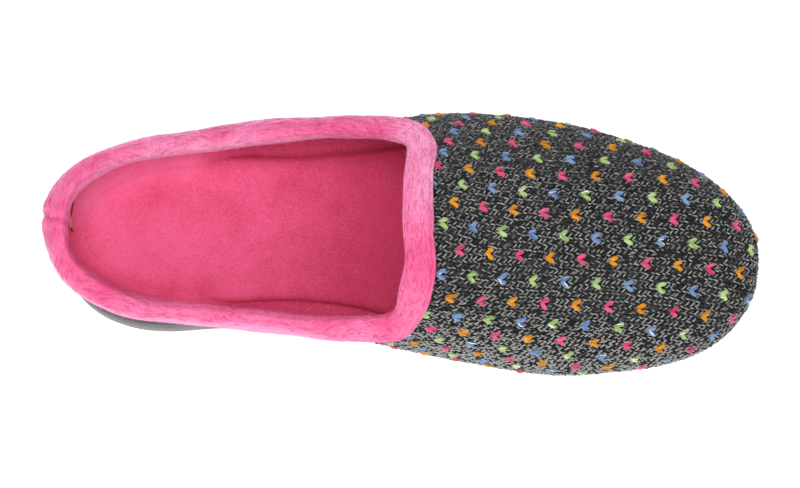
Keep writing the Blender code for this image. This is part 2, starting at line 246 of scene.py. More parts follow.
@dataclass(frozen=True)
class YarnFinish:
    """Spun acrylic yarn: dull fibres, each strand a little lighter or darker, with a faint halo of ends."""

    name: str
    dark: str
    light: str
    glint: str
    sheen: float = 0.25
    sheen_roughness: float = 0.5
    fibre_mm: float = 0.5
    mottle: float = 0.18
    white_from: Pair = (1.2, 1.8)
    relief: float = 0.4
    relief_mm: float = 0.15
    roughness: float = 0.85
    specular: float = 0.25

    def build(self) -> Material:
        """The material: the shade attribute runs from dark to light, and past 1 to a white fibre's glint."""
        feeds = {"Roughness": self.roughness, "Specular IOR Level": self.specular}
        feeds |= {"Sheen Weight": self.sheen, "Sheen Roughness": self.sheen_roughness}
        material, tree, shader = start_material(self.name, feeds)
        place = add_node(tree, "TexCoord").outputs["Object"]
        strand = add_node(tree, "Attribute", {"attribute_name": SHADE}).outputs["Fac"]
        feeds = {"Vector": place, "Scale": per_metre(self.fibre_mm), "Detail": 2.0}
        fibres = add_node(tree, "TexNoise", None, feeds).outputs["Fac"]
        feeds = {"Value": fibres, **NOISE_MIDDLE, "To Min": -self.mottle, "To Max": self.mottle}
        mottled = add_node(tree, "MapRange", {"clamp": False}, feeds).outputs["Result"]
        tone = add_node(tree, "Math", {"operation": "ADD"}, {0: strand, 1: mottled}).outputs[0]
        feeds = {0: tone, 6: linear(self.dark), 7: linear(self.light)}
        body = add_node(tree, "Mix", {"data_type": "RGBA", "clamp_factor": True}, feeds).outputs[2]
        low, high = self.white_from
        feeds = {"Value": strand, "From Min": low, "From Max": high}
        white = add_node(tree, "MapRange", None, feeds).outputs["Result"]
        feeds = {0: white, 6: body, 7: linear(self.glint)}
        colour = add_node(tree, "Mix", {"data_type": "RGBA"}, feeds).outputs[2]
        tree.links.new(colour, shader.inputs["Base Color"])
        feeds = {"Height": fibres, "Strength": self.relief, "Distance": self.relief_mm * MM}
        bump = add_node(tree, "Bump", None, feeds)
        tree.links.new(bump.outputs["Normal"], shader.inputs["Normal"])
        return material


@dataclass(frozen=True)
class RubberFinish:
    """Moulded thermoplastic rubber: an even satin grey, dusty on the flats and darker on its pebbled rim."""

    name: str = "moulded_rubber"
    wall: str = "#6d6e6c"
    rim: str = "#505051"
    dust: str = "#858682"
    pebble_mm: float = 0.8
    dust_mm: float = 6.0
    dust_edge: Pair = (0.35, 0.75)
    dust_share: float = 0.6
    relief: float = 0.7
    relief_mm: float = 0.4
    roughness: float = 0.6
    specular: float = 0.4
    ior: float = 1.52

    def build(self) -> Material:
        """The material: the shade attribute is 1 on the pebbled rim."""
        feeds = {"Roughness": self.roughness, "Specular IOR Level": self.specular, "IOR": self.ior}
        material, tree, shader = start_material(self.name, feeds)
        place = add_node(tree, "TexCoord").outputs["Object"]
        rim = add_node(tree, "Attribute", {"attribute_name": SHADE}).outputs["Fac"]
        feeds = {"Vector": place, "Scale": per_metre(self.dust_mm), "Detail": 5.0}
        cloud = add_node(tree, "TexNoise", None, feeds).outputs["Fac"]
        low, high = self.dust_edge
        feeds = {"Value": cloud, "From Min": low, "From Max": high, "To Max": self.dust_share}
        dusty = add_node(tree, "MapRange", None, feeds).outputs["Result"]
        feeds = {0: dusty, 6: linear(self.wall), 7: linear(self.dust)}
        flat = add_node(tree, "Mix", {"data_type": "RGBA"}, feeds).outputs[2]
        feeds = {0: rim, 6: flat, 7: linear(self.rim)}
        colour = add_node(tree, "Mix", {"data_type": "RGBA"}, feeds).outputs[2]
        tree.links.new(colour, shader.inputs["Base Color"])
        feeds = {"Vector": place, "Scale": per_metre(self.pebble_mm)}
        pebbles = add_node(tree, "TexVoronoi", {"feature": "F1"}, feeds).outputs["Distance"]
        grain = add_node(tree, "Math", {"operation": "MULTIPLY"}, {0: pebbles, 1: rim}).outputs[0]
        feeds = {"Height": grain, "Strength": self.relief, "Distance": self.relief_mm * MM}
        bump = add_node(tree, "Bump", {"invert": True}, feeds)
        tree.links.new(bump.outputs["Normal"], shader.inputs["Normal"])
        return material


COLLAR_PLUSH = PlushFinish(
    "collar_plush", "#e54b80", "#ed72a2", "#fba8d1", "#ffb8dc",
    sheen=0.2, patch_share=0.07, ripple=0.08, relief=0.3,
)
INSOLE_PLUSH = PlushFinish(
    "insole_plush", "#c53d62", "#e85b87", "#ef79a4", "#ffb4d4",
    sheen=0.3, patch_mm=11.0, patch_share=0.1, nap_mm=0.65, ripple=0.12, relief=0.3,
)
CHARCOAL_PLY = YarnFinish("charcoal_acrylic_yarn", "#1c1c1e", "#373739", "#6a6a6c", sheen=0.06)
GREY_PLY = YarnFinish("grey_acrylic_yarn", "#5b5b5b", "#aaaaa7", "#d8d8d6", sheen=0.15)
# Its dark colour paints the shadow in the gap under the cuff, on the threads of tone 0
SEAM_TAPE_AND_PAINTED_SHADOW = YarnFinish("cotton_tape_and_painted_shadow", "#571e28", "#cfa98e", "#f0dcc8", sheen=0.1)
BACKING = YarnFinish("charcoal_knit_backing", "#141415", "#212123", "#6a6a6c", sheen=0.0)


class MotifColour(Enum):
    """Yarns of the small coloured stitches."""

    ORANGE = YarnFinish("orange_acrylic_yarn", "#b8700c", "#eb9f26", "#ffe2ae", sheen=0.12)
    PINK = YarnFinish("rose_acrylic_yarn", "#b83058", "#ea628c", "#ffd9e2", sheen=0.12)
    GREEN = YarnFinish("green_acrylic_yarn", "#86a458", "#bfd894", "#f6ffe8", sheen=0.12)
    BLUE = YarnFinish("blue_acrylic_yarn", "#5474a2", "#86a2ca", "#eef5ff", sheen=0.12)

    @property
    def glints(self) -> bool:
        """Whether a white fibre runs through some of its strands."""
        return self in (MotifColour.GREEN, MotifColour.BLUE)


# Shape of the shoe


@dataclass(frozen=True)
class Sections:
    """Measures at places along the shoe, joined by smooth curves."""

    columns: tuple[str, ...]
    rows: tuple[Row, ...]

    def at(self, name: str, x: Array) -> Array:
        """The measure at x: a cubic curve through the rows, level beyond the first and the last.

        Args:
            name: The measure's column.
            x: Places along the shoe.

        Returns:
            The measure at each place.
        """
        xs = np.array([row[0] for row in self.rows])
        ys = np.array([row[self.columns.index(name)] for row in self.rows])
        x = np.clip(np.asarray(x, float), xs[0], xs[-1])
        slope = np.gradient(ys, xs)
        i = np.clip(np.searchsorted(xs, x, side="right") - 1, 0, len(xs) - 2)
        span = xs[i + 1] - xs[i]
        t = (x - xs[i]) / span
        rise = ys[i] * (1 + 2 * t) * (1 - t) ** 2 + ys[i + 1] * t * t * (3 - 2 * t)
        return rise + span * (slope[i] * t * (1 - t) ** 2 - slope[i + 1] * t * t * (1 - t))

    def by_side(self, name: str, x: Array, side: Array) -> Array:
        """A measure with a column for each side, on the side given by the sign of a number."""
        return np.where(side > 0, self.at(f"{name}_lateral", x), self.at(f"{name}_medial", x))


@dataclass(frozen=True)
class Last:
    """The form that the upper is pulled over, and the sole's platform under it."""

    length: float = 260.0
    toe_tip: float = 259.6
    centre: Pair = (80.0, 1.0)
    seat_gap: float = 0.35
    wall: float = 2.4
    equator_rise: float = 6.0
    least_tuck: float = 0.7
    feather_inset: float = 2.4
    heel_back: float = 4.6
    heel_round: float = 52.0
    heel_power: float = 2.1
    toe_round: float = 190.0
    toe_power: float = 2.5
    topline_rear: float = 42.0
    topline_heel_lift: float = 1.5
    throat_x: float = 134.0
    throat_from: float = 88.0
    # Squarer than in the solids, as the soft cuff is pulled into the corners
    corner_rise: float = 17.0
    corner_power: float = 3.2
    throat_rise: float = 25.0
    throat_power: float = 18.0
    # Bow of the throat: depth, middle, half width, reach in half widths
    throat_bow: Row = (1.2, -2.0, 28.0, 1.3)
    # Lift of the edge at the outer corner: height, place and length along, then places across
    corner_lift: Triple = (4.0, 126.0, 7.0)
    corner_lift_across: Pair = (18.0, 32.0)
    # Lean of the soft medial wall at the heel and the waist, and where it eases and fades out along
    flare: Pair = (3.5, 2.4)
    flare_eases: Pair = (34.0, 62.0)
    flare_fades: Pair = (98.0, 122.0)
    flare_side: float = 18.0
    flare_power: float = 1.5
    # Ends of the sole and of the footbed: back, tip, start of the heel's curve and its power
    sole_ends: Row = (4.6, 256.0, 40.0, 2.3)
    insole_ends: Row = (10.6, 250.0, 50.0, 2.1)
    sections: Sections = Sections(
        (
            "x", "lateral", "medial", "ridge_y", "ridge_z", "crown", "fill_lateral", "fill_medial",
            "sole_lateral", "sole_medial", "insole_lateral", "insole_medial", "platform",
        ),
        (
            (4, 31.4, 28, 2, 86, 2, 2, 2, 33.6, 32.6, 26.8, 23.4, 21.8),
            (25, 31.2, 28, 2, 86, 2, 2, 2, 33.6, 33.1, 26.8, 23.4, 21.6),
            (45, 32.4, 28.6, 2, 86, 2, 2, 2, 33.8, 33.7, 28, 24, 21),
            (65, 35.6, 29.5, 2, 86, 2, 2, 2, 34.8, 31.3, 29.8, 24, 20),
            (90, 40.2, 31.4, 1.5, 86, 2, 1.9, 2, 37.4, 29.2, 31.2, 21.4, 18),
            (115, 44.6, 33.8, 0, 85.5, 2, 1.75, 2, 42, 31, 35.6, 22.4, 15.8),
            (141, 50.4, 38, -3.5, 80.5, 2, 1.65, 2, 47.4, 35.4, 40.4, 28.4, 14.2),
            (165, 51.4, 41, -6, 71, 2, 1.65, 2, 49, 38.6, 43, 33, 13.4),
            (187, 49.8, 42.7, -7.5, 63.2, 2, 1.7, 2, 47.6, 40.2, 41.8, 35, 13.2),
            (210, 45.6, 41, -5, 57.6, 2.2, 2, 2.1, 44.2, 38.8, 38, 33.6, 13.8),
            (230, 42.2, 40.2, -2, 55.4, 2.5, 2.2, 2.2, 41.4, 37.8, 34.6, 32, 15.6),
            (250, 37.8, 38.6, 0, 54.8, 2.5, 2.2, 2.2, 37.4, 36.2, 30.4, 29.6, 18.6),
            (260, 34.2, 35.3, 0.5, 54.6, 2.5, 2.2, 2.2, 34, 33.5, 27, 27, 20.4),
        ),
    )

    def ends(self, x: Array) -> Array:
        """What the rounded toe and heel add to the level at x."""
        toe = np.clip((x - self.toe_round) / (self.toe_tip - self.toe_round), 0, None)
        heel = np.clip((self.heel_round - x) / (self.heel_round - self.heel_back), 0, None)
        return toe**self.toe_power + heel**self.heel_power

    def reach(self, x: Array, side: Array) -> Array:
        """Distance across from the ridge to the widest line, on the side given by the sign of a number."""
        ridge = self.sections.at("ridge_y", x)
        lateral, medial = self.sections.at("lateral", x) - ridge, self.sections.at("medial", x) + ridge
        return np.where(side > 0, lateral, medial)

    def level(self, x: Array, y: Array) -> Array:
        """0 on the ridge, 1 on the widest line."""
        off = y - self.sections.at("ridge_y", x)
        return (np.abs(off) / self.reach(x, off)) ** self.sections.at("crown", x) + self.ends(x)

    def edge_y(self, x: Array, side: Side) -> Array:
        """Place across of the widest line at x."""
        left = np.clip(1 - self.ends(x), 0, None) ** (1 / self.sections.at("crown", x))
        sign = np.full(np.shape(x), side.value)
        return self.sections.at("ridge_y", x) + sign * self.reach(x, sign) * left

    def platform(self, x: Array) -> Array:
        """Height of the sole's upper face."""
        return self.sections.at("platform", x)

    def dome(self, x: Array, y: Array) -> Array:
        """Height of the last's surface over the widest line."""
        low = self.platform(x) + self.equator_rise
        fill = self.sections.by_side("fill", x, y - self.sections.at("ridge_y", x))
        height = self.sections.at("ridge_z", x) - low
        return low + height * np.clip(1 - self.level(x, y), 0, None) ** (1 / fill)

    def topline(self, x: Array, y: Array) -> Array:
        """Height of the open edge as the shoe is seen from the side."""
        bow_depth, bow_middle, bow_half, bow_reach = self.throat_bow
        bow = bow_depth * np.clip((y - bow_middle) / bow_half, -bow_reach, bow_reach) ** 2
        along = np.clip((x - bow - self.throat_from) / (self.throat_x - self.throat_from), 0, None)
        heel = np.clip((self.heel_round - x) / self.heel_round, 0, None)
        rise = self.corner_rise * along**self.corner_power + self.throat_rise * along**self.throat_power
        lift, lift_x, lift_length = self.corner_lift
        rise = rise + lift * bell(x - lift_x, lift_length) * ease(y, *self.corner_lift_across)
        return self.topline_rear + self.topline_heel_lift * heel**2 + rise

    def leaning(self, points: Array) -> Array:
        """How far the soft wall leans out at points of its surface."""
        x, y, z = points[..., 0], points[..., 1], points[..., 2]
        foot = self.platform(x) + self.equator_rise
        up = np.clip((z - foot) / (self.topline_rear - foot), 0.0, 1.0)
        medial = ease(self.centre[1] - y, 0.0, self.flare_side)
        heel, waist = self.flare
        most = heel + (waist - heel) * ease(x, *self.flare_eases)
        return most * up**self.flare_power * medial * (1.0 - ease(x, *self.flare_fades))

    def end_shape(self, x: Array, back: float, tip: float, heel_round: float, heel_power: float) -> Array:
        """Share of a flat piece's half width that its rounded heel and toe leave at x.

        Args:
            x: Places along the shoe.
            back: Where the piece starts at the heel.
            tip: Where it ends at the toe.
            heel_round: Where the heel's curve starts.
            heel_power: How square the heel is.

        Returns:
            The share at each place.
        """
        toe = np.clip((x - self.toe_round) / (tip - self.toe_round), 0, 1)
        heel = np.clip((heel_round - x) / (heel_round - back), 0, 1)
        return (1 - toe**self.toe_power) ** (1 / self.toe_power) * (1 - heel**heel_power) ** (1 / heel_power)

    def sole_half(self, x: Array, side: Array) -> Array:
        """Half width of the sole at x, on the side given by the sign of a number."""
        return self.sections.by_side("sole", x, side) * self.end_shape(x, *self.sole_ends)

    def ray(self, angles: Array, distance: Array) -> ArrayPair:
        """Plan place at a distance from the centre along rays."""
        return self.centre[0] + distance * np.cos(angles), self.centre[1] + distance * np.sin(angles)

    def crossing(self, value: Callable[[Array, Array], Array], angles: Array, halvings: int = 50) -> Array:
        """Distance from the centre along each ray at which a falling value reaches zero.

        Args:
            value: Gives the value at places along and across.
            angles: The rays' angles.
            halvings: How often the distance is narrowed down.

        Returns:
            The distance for each ray.
        """
        near = np.zeros(len(angles))
        far = np.full(len(angles), self.length)
        for _ in range(halvings):
            middle = (near + far) / 2
            inside = value(*self.ray(angles, middle)) > 0
            near = np.where(inside, middle, near)
            far = np.where(inside, far, middle)
        return near

    def rim_distance(self, angles: Array) -> Array:
        """Distance of the open edge along each ray."""
        return self.crossing(lambda x, y: self.dome(x, y) - self.topline(x, y), angles)

    def edge_distance(self, angles: Array) -> Array:
        """Distance of the widest line along each ray."""
        return self.crossing(lambda x, y: 1 - self.level(x, y), angles)

    def insole_half(self, x: Array, side: Array) -> Array:
        """Half width of the footbed at x, on the side given by the sign of a number."""
        return self.sections.by_side("insole", x, side) * self.end_shape(x, *self.insole_ends)

    def insole_distance(self, angles: Array) -> Array:
        """Distance of the footbed's edge along each ray."""
        return self.crossing(lambda x, y: self.insole_half(x, y) - np.abs(y), angles)

    def feather_distance(self, angles: Array) -> Array:
        """Distance of the line where the upper is turned in on the sole."""
        return self.crossing(lambda x, y: self.sole_half(x, y) - np.abs(y), angles) - self.feather_inset


class Ribs:
    """Lines of the upper's outer surface, each from the open edge down to the feather edge on the sole."""

    def __init__(self, last: Last, count: int, dome_steps: int = 70, tuck_steps: int = 12) -> None:
        """Works out the ribs.

        Args:
            last: The form under the upper.
            count: How many ribs go round.
            dome_steps: Points of each rib above the widest line.
            tuck_steps: Points of its turn to the feather edge.
        """
        self.last = last
        self.count = count
        self.widest = dome_steps - 1
        angles = self.even_angles(count)
        self.angles = angles
        rim = last.rim_distance(angles)[:, None]
        edge = last.edge_distance(angles)[:, None]
        fall = np.sin(np.linspace(0, math.pi / 2, dome_steps))[None, :]
        x, y = last.ray(angles[:, None] + 0 * fall, rim + (edge - rim) * fall)
        over = np.stack([x, y, last.dome(x, y)], axis=-1)
        turn = np.linspace(0, math.pi / 2, tuck_steps)[None, 1:]
        tuck = np.maximum(last.least_tuck, edge - last.feather_distance(angles)[:, None])
        x, y = last.ray(angles[:, None] + 0 * turn, edge - tuck * (1 - np.cos(turn)))
        low = last.platform(x) + last.seat_gap
        high = over[:, -1:, 2]
        under = np.stack([x, y, high - (high - low) * np.sin(turn)], axis=-1)
        self.points = np.concatenate([over, under], axis=1)
        level_out = self.surface_normals() * np.array([1.0, 1.0, 0.0])
        self.points = self.points + last.leaning(self.points)[..., None] * unit(level_out)
        self.normals = self.surface_normals()
        self.along = run_length(self.points)
        self.up = unit(self.points[:, 0] - self.points[:, 1])
        self.rim_x = self.points[:, 0, 0]
        loop = np.concatenate([self.points[:, 0], self.points[:1, 0]])
        heel = int(np.argmin(self.rim_x))
        round_rim = run_length(loop)
        # Distance along the open edge from the back seam, positive on the medial side
        self.from_seam = round_rim[:-1] - round_rim[heel]
        half = round_rim[-1] / 2
        self.from_seam = (self.from_seam + half) % (2 * half) - half

    def surface_normals(self) -> Array:
        """Outward normals at the ribs' points."""
        around = np.roll(self.points, -1, axis=0) - np.roll(self.points, 1, axis=0)
        return unit(np.cross(np.gradient(self.points, axis=1), around))

    def even_angles(self, count: int, fine_count: int = 1441) -> Array:
        """Ray angles that space the ribs evenly along the open edge and the widest line together."""
        fine = np.linspace(0, 2 * math.pi, fine_count)
        along = np.zeros(fine_count)
        for distance in (self.last.rim_distance(fine), self.last.edge_distance(fine)):
            x, y = self.last.ray(fine, distance)
            steps = np.hypot(np.diff(x), np.diff(y))
            along[1:] += np.cumsum(steps) / steps.sum()
        return np.interp(np.arange(count) / count * along[-1], along, fine)

    def place(self, down: Array, out: Array) -> Array:
        """Points on the ribs.

        Args:
            down: For each rib, distances down it from the open edge, negative above it.
            out: For each of them, the distance out from the surface.

        Returns:
            The points, rib by rib.
        """
        made = np.empty(down.shape + (3,))
        for i in range(self.count):
            at = np.maximum(down[i], 0.0)
            point = along_line(at, self.along[i], self.points[i])
            normal = unit(along_line(at, self.along[i], self.normals[i]))
            above = np.maximum(-down[i], 0.0)[:, None] * self.up[i]
            made[i] = point + out[i][:, None] * normal + above
        return made

    def drop_to(self, clearance: Array | float) -> Array:
        """Distance down each rib at which it is this far over the sole's platform."""
        level = np.broadcast_to(clearance, self.count)[:, None]
        over = self.points[:, :, 2] - self.last.platform(self.points[:, :, 0]) - level
        return np.array([np.interp(0.0, -over[i], self.along[i]) for i in range(self.count)])


@dataclass
class Spots:
    """Places scattered on a surface, with their own axes."""

    points: Array
    normals: Array
    along: Array
    across: Array
    row: Array
    column: Array


class Shop:
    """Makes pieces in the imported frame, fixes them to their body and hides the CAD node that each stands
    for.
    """

    def __init__(self, last: Last, stations: int = 44) -> None:
        """Finds the frame's origin in the shoe's own axes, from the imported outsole's box.

        Args:
            last: The form of the shoe.
            stations: Sections of the outsole.
        """
        back, tip = last.sole_ends[:2]
        x = spaced(back, tip, stations)
        widest = last.sole_half(x, np.ones(stations)).max()
        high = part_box("outsole")[1]
        self.shift = np.array([tip - high.x / MM, widest - high.y / MM, 0.0])
        self.triangles = 0

    def to_frame(self, points: Array) -> Array:
        """Points of the shoe's own axes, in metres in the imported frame."""
        return (np.asarray(points) - self.shift) * MM

    def wrapped_grid(self, name: str, points: Array, shade: Array) -> Piece:
        """A plane grid laid over a net of points, its meeting edges merged to close it.

        Args:
            name: The piece's name.
            points: Rows of points in the shoe's own axes.
            shade: The tone of each point.

        Returns:
            The piece, smooth, with its faces turned out.
        """
        rows, columns = points.shape[:2]
        bpy.ops.object.select_all(action="DESELECT")
        bpy.ops.mesh.primitive_grid_add(x_subdivisions=columns - 1, y_subdivisions=rows - 1, size=2.0)
        piece = bpy.context.object
        piece.name = name
        piece.data.name = name
        start = np.empty(len(piece.data.vertices) * 3, np.float32)
        piece.data.vertices.foreach_get("co", start)
        start = start.reshape(-1, 3).round(5)
        placed = np.empty_like(start)
        tones = np.empty(len(start))
        order = np.lexsort((start[:, 0], start[:, 1]))
        placed[order] = self.to_frame(points).reshape(-1, 3)
        tones[order] = np.broadcast_to(shade, points.shape[:2]).ravel()
        piece.data.vertices.foreach_set("co", placed.ravel())
        self.tone(piece, tones)
        bpy.ops.object.mode_set(mode="EDIT")
        bpy.ops.mesh.select_all(action="SELECT")
        bpy.ops.mesh.remove_doubles(threshold=MERGE_MM * MM)
        bpy.ops.mesh.normals_make_consistent(inside=False)
        bpy.ops.object.mode_set(mode="OBJECT")
        bpy.ops.object.shade_smooth()
        return piece

    def joined(
        self, name: str, points: Array, faces: Array, shade: Array, normals: Optional[Array] = None
    ) -> Piece:
        """Many small things as one mesh.

        Args:
            name: The piece's name.
            points: Their corners in the shoe's own axes.
            faces: Triangles or quads as numbers of corners.
            shade: The tone of each corner.
            normals: Shading normals of the corners, if they aren't those of the faces.

        Returns:
            The piece, shaded smooth.
        """
        mesh = bpy.data.meshes.new(name)
        mesh.from_pydata(self.to_frame(points).tolist(), [], faces.tolist())
        mesh.shade_smooth()
        if normals is not None:
            mesh.normals_split_custom_set_from_vertices(normals.tolist())
        piece = bpy.data.objects.new(name, mesh)
        bpy.context.collection.objects.link(piece)
        self.tone(piece, shade)
        return piece

    def strands(self, name: str, bundles: list[tuple[Array, Array, Array, int, Array]]) -> Piece:
        """Closed tubes as one mesh.

        Args:
            name: The piece's name.
            bundles: For each set of tubes, what tubes() takes, and the tone of each.

        Returns:
            The piece.
        """
        corners, faces, tones, start = [], [], [], 0
        for *shape, tone in bundles:
            points, sides = tubes(*shape)
            corners.append(points)
            faces.append(sides + start)
            tones.append(np.repeat(tone, len(points) // len(tone)))
            start += len(points)
        return self.joined(name, np.concatenate(corners), np.concatenate(faces), np.concatenate(tones))

    def tone(self, piece: Piece, shade: Array) -> None:
        """Writes the tone of each vertex."""
        mark = piece.data.attributes.new(SHADE, "FLOAT", "POINT")
        mark.data.foreach_set("value", np.asarray(shade, np.float32))

    def hand_over(self, piece: Piece, material: Material, slot: Slot, node: Optional[str] = None) -> None:
        """Dresses a piece and fixes it to the shoe.

        Args:
            piece: The finished piece.
            material: Its finish.
            slot: The record's material slot; not used.
            node: The CAD node that it stands for, if any.
        """
        piece.data.materials.clear()
        piece.data.materials.append(material)
        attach(piece, "root")
        if node is not None:
            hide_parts(node)
        piece.data.calc_loop_triangles()
        count = len(piece.data.loop_triangles)
        self.triangles += count
        LOG.info("%s: %d triangles", piece.name, count)


def marked(points: Array, marks: Marks) -> Array:
    """The change at points by soft marks, each a place along, a place across, a size and a change."""
    change = np.zeros(points.shape[:-1])
    for x, y, size, amount in marks:
        change += amount * bell(np.hypot(points[..., 0] - x, points[..., 1] - y), size)
    return change


def swell(points: Array, sizes: Row) -> Array:
    """Waves over a surface, from their height, length and phase along, and length and phase across."""
    height, along, along_phase, across, across_phase = sizes
    x, y = points[..., 0], points[..., 1]
    return height * np.sin(x / along + along_phase) * np.sin(y / across + across_phase)


def close_round(grid: Array) -> Array:
    """A net whose first row is repeated after its last one."""
    return np.concatenate([grid, grid[:1]])


def close_both(grid: Array) -> Array:
    """A net that is closed round and along its rows."""
    wide = np.concatenate([grid, grid[:, :1]], axis=1)
    return close_round(wide)


def drawn_in(x: Array, y: Array, inset: Array) -> Array:
    """Rows of points drawn in from one side of an outline, square to it.

    Args:
        x: Places along the outline, from its heel end to its toe end.
        y: Places across it, on one side.
        inset: How far each row is drawn in.

    Returns:
        For each station, the rows' places along and across.
    """
    side = np.sign(y.sum())
    heading = unit(np.stack([np.gradient(x), np.gradient(y)], axis=-1))
    heading[0], heading[-1] = (0.0, side), (0.0, -side)
    across = side * heading
    return np.stack([x[:, None] + inset * across[:, 1:], y[:, None] - inset * across[:, :1]], axis=-1)


def net_axes(grid: Array, wraps: bool) -> tuple[Array, Array, Array]:
    """Unit tangents down the rows and along them, and their cross product, at each point of a net.

    Args:
        grid: Rows of points.
        wraps: Whether the last row meets the first.

    Returns:
        The tangent from row to row, the tangent within a row and the normal.
    """
    if wraps:
        between = np.roll(grid, -1, axis=0) - np.roll(grid, 1, axis=0)
    else:
        between = np.gradient(grid, axis=0)
    within = np.gradient(grid, axis=1)
    return unit(between), unit(within), unit(np.cross(between, within))


def scatter(grid: Array, wraps: bool, per_mm2: float, weight: Array, rng: Chance) -> Spots:
    """Random places on a net, even by area.

    Args:
        grid: Rows of points.
        wraps: Whether the last row meets the first.
        per_mm2: How many places on a square millimetre.
        weight: Share of that number at each point of the net.
        rng: The source of chance.

    Returns:
        The places, with their axes.
    """
    between, within, normal = net_axes(grid, wraps)
    if wraps:
        grid, between, within, normal, weight = map(close_round, (grid, between, within, normal, weight))
    edges = (grid[1:, :-1] - grid[:-1, :-1], grid[:-1, 1:] - grid[:-1, :-1])
    area = np.linalg.norm(np.cross(*edges), axis=-1) * weight[:-1, :-1]
    total = np.cumsum(area.ravel())
    picks = np.searchsorted(total, rng.random(int(total[-1] * per_mm2)) * total[-1])
    i, j = np.unravel_index(np.minimum(picks, area.size - 1), area.shape)
    u, v = rng.random((2, len(picks), 1))

    def mix(values: Array) -> Array:
        """Values of the net at the places."""
        near = values[i, j] * (1 - v) + values[i, j + 1] * v
        return near * (1 - u) + (values[i + 1, j] * (1 - v) + values[i + 1, j + 1] * v) * u

    axes = (unit(mix(values)) for values in (normal, between, within))
    return Spots(mix(grid), *axes, i + u[:, 0], j + v[:, 0])


@dataclass(frozen=True)
class Pile:
    """Short pile of a plush: slivers that lie almost flat and are lit like the cloth under them.

    Lift and tone are each a mean and a spread, and stray is the spread of the lay.
    """

    per_mm2: float
    length: float
    width: float
    height: float
    sink: float
    lift: Pair
    tone: Pair
    stray: float
    own_light: float = 0.3
    length_shares: Pair = (0.65, 1.3)

    def grow(self, shop: Shop, name: str, spots: Spots, flat: Array, tone_marks: Array, rng: Chance) -> Piece:
        """Makes the pile.

        Args:
            shop: Makes the piece.
            name: The piece's name.
            spots: Where the tufts grow.
            flat: The direction of each along the cloth.
            tone_marks: The change of tone of each by marks, painted light and shade among them.
            rng: The source of chance.

        Returns:
            The piece, each tuft a closed sliver with a raised back and a tip.
        """
        count = len(spots.points)
        lift = np.radians(rng.normal(*self.lift, count))[:, None]
        lean = unit(flat * np.cos(lift) + spots.normals * np.sin(lift))
        length = (self.length * rng.uniform(*self.length_shares, count))[:, None]
        aside = unit(np.cross(spots.normals, lean))
        root = spots.points - self.sink * spots.normals
        corners = np.stack(
            [
                root + aside * self.width / 2,
                root - aside * self.width / 2,
                root + self.height * spots.normals,
                root + lean * length,
            ],
            axis=1,
        )
        light = np.stack([aside, -aside, 0 * aside, flat], axis=1) * self.own_light + spots.normals[:, None]
        shape = np.array([[0, 1, 2], [0, 2, 3], [2, 1, 3], [1, 0, 3]])
        faces = np.arange(count)[:, None, None] * 4 + shape
        tone = np.repeat(np.clip(rng.normal(*self.tone, count) + tone_marks, 0.0, 1.0), 4)
        corners, faces, light = (item.reshape(-1, 3) for item in (corners, faces, unit(light)))
        return shop.joined(name, corners, faces, tone, light)


def tubes(lines: Array, radius: Array, facing: Array, sides: int) -> ArrayPair:
    """Closed tubes along lines of points.

    Args:
        lines: For each tube, its points.
        radius: The radius at each point of a tube.
        facing: For each tube, a direction across it.
        sides: How many sides a tube has.

    Returns:
        Corners and triangles.
    """
    count, steps = lines.shape[:2]
    heading = unit(np.gradient(lines, axis=1))
    first = square_to(facing[:, None, :], heading)
    second = np.cross(heading, first)
    turn = np.arange(sides) / sides * 2 * math.pi
    ring = first[:, :, None] * np.cos(turn)[:, None] + second[:, :, None] * np.sin(turn)[:, None]
    corners = lines[:, :, None] + ring * radius[..., None, None]
    faces = []
    for k in range(steps - 1):
        for a in range(sides):
            b = (a + 1) % sides
            low, high = k * sides, (k + 1) * sides
            faces += [(low + a, low + b, high + b), (low + a, high + b, high + a)]
    for a in range(1, sides - 1):
        end = (steps - 1) * sides
        faces += [(0, a + 1, a), (end, end + a, end + a + 1)]
    all_faces = np.arange(count)[:, None, None] * (steps * sides) + np.array(faces)
    return corners.reshape(-1, 3), all_faces.reshape(-1, 3)


# Sub-assemblies


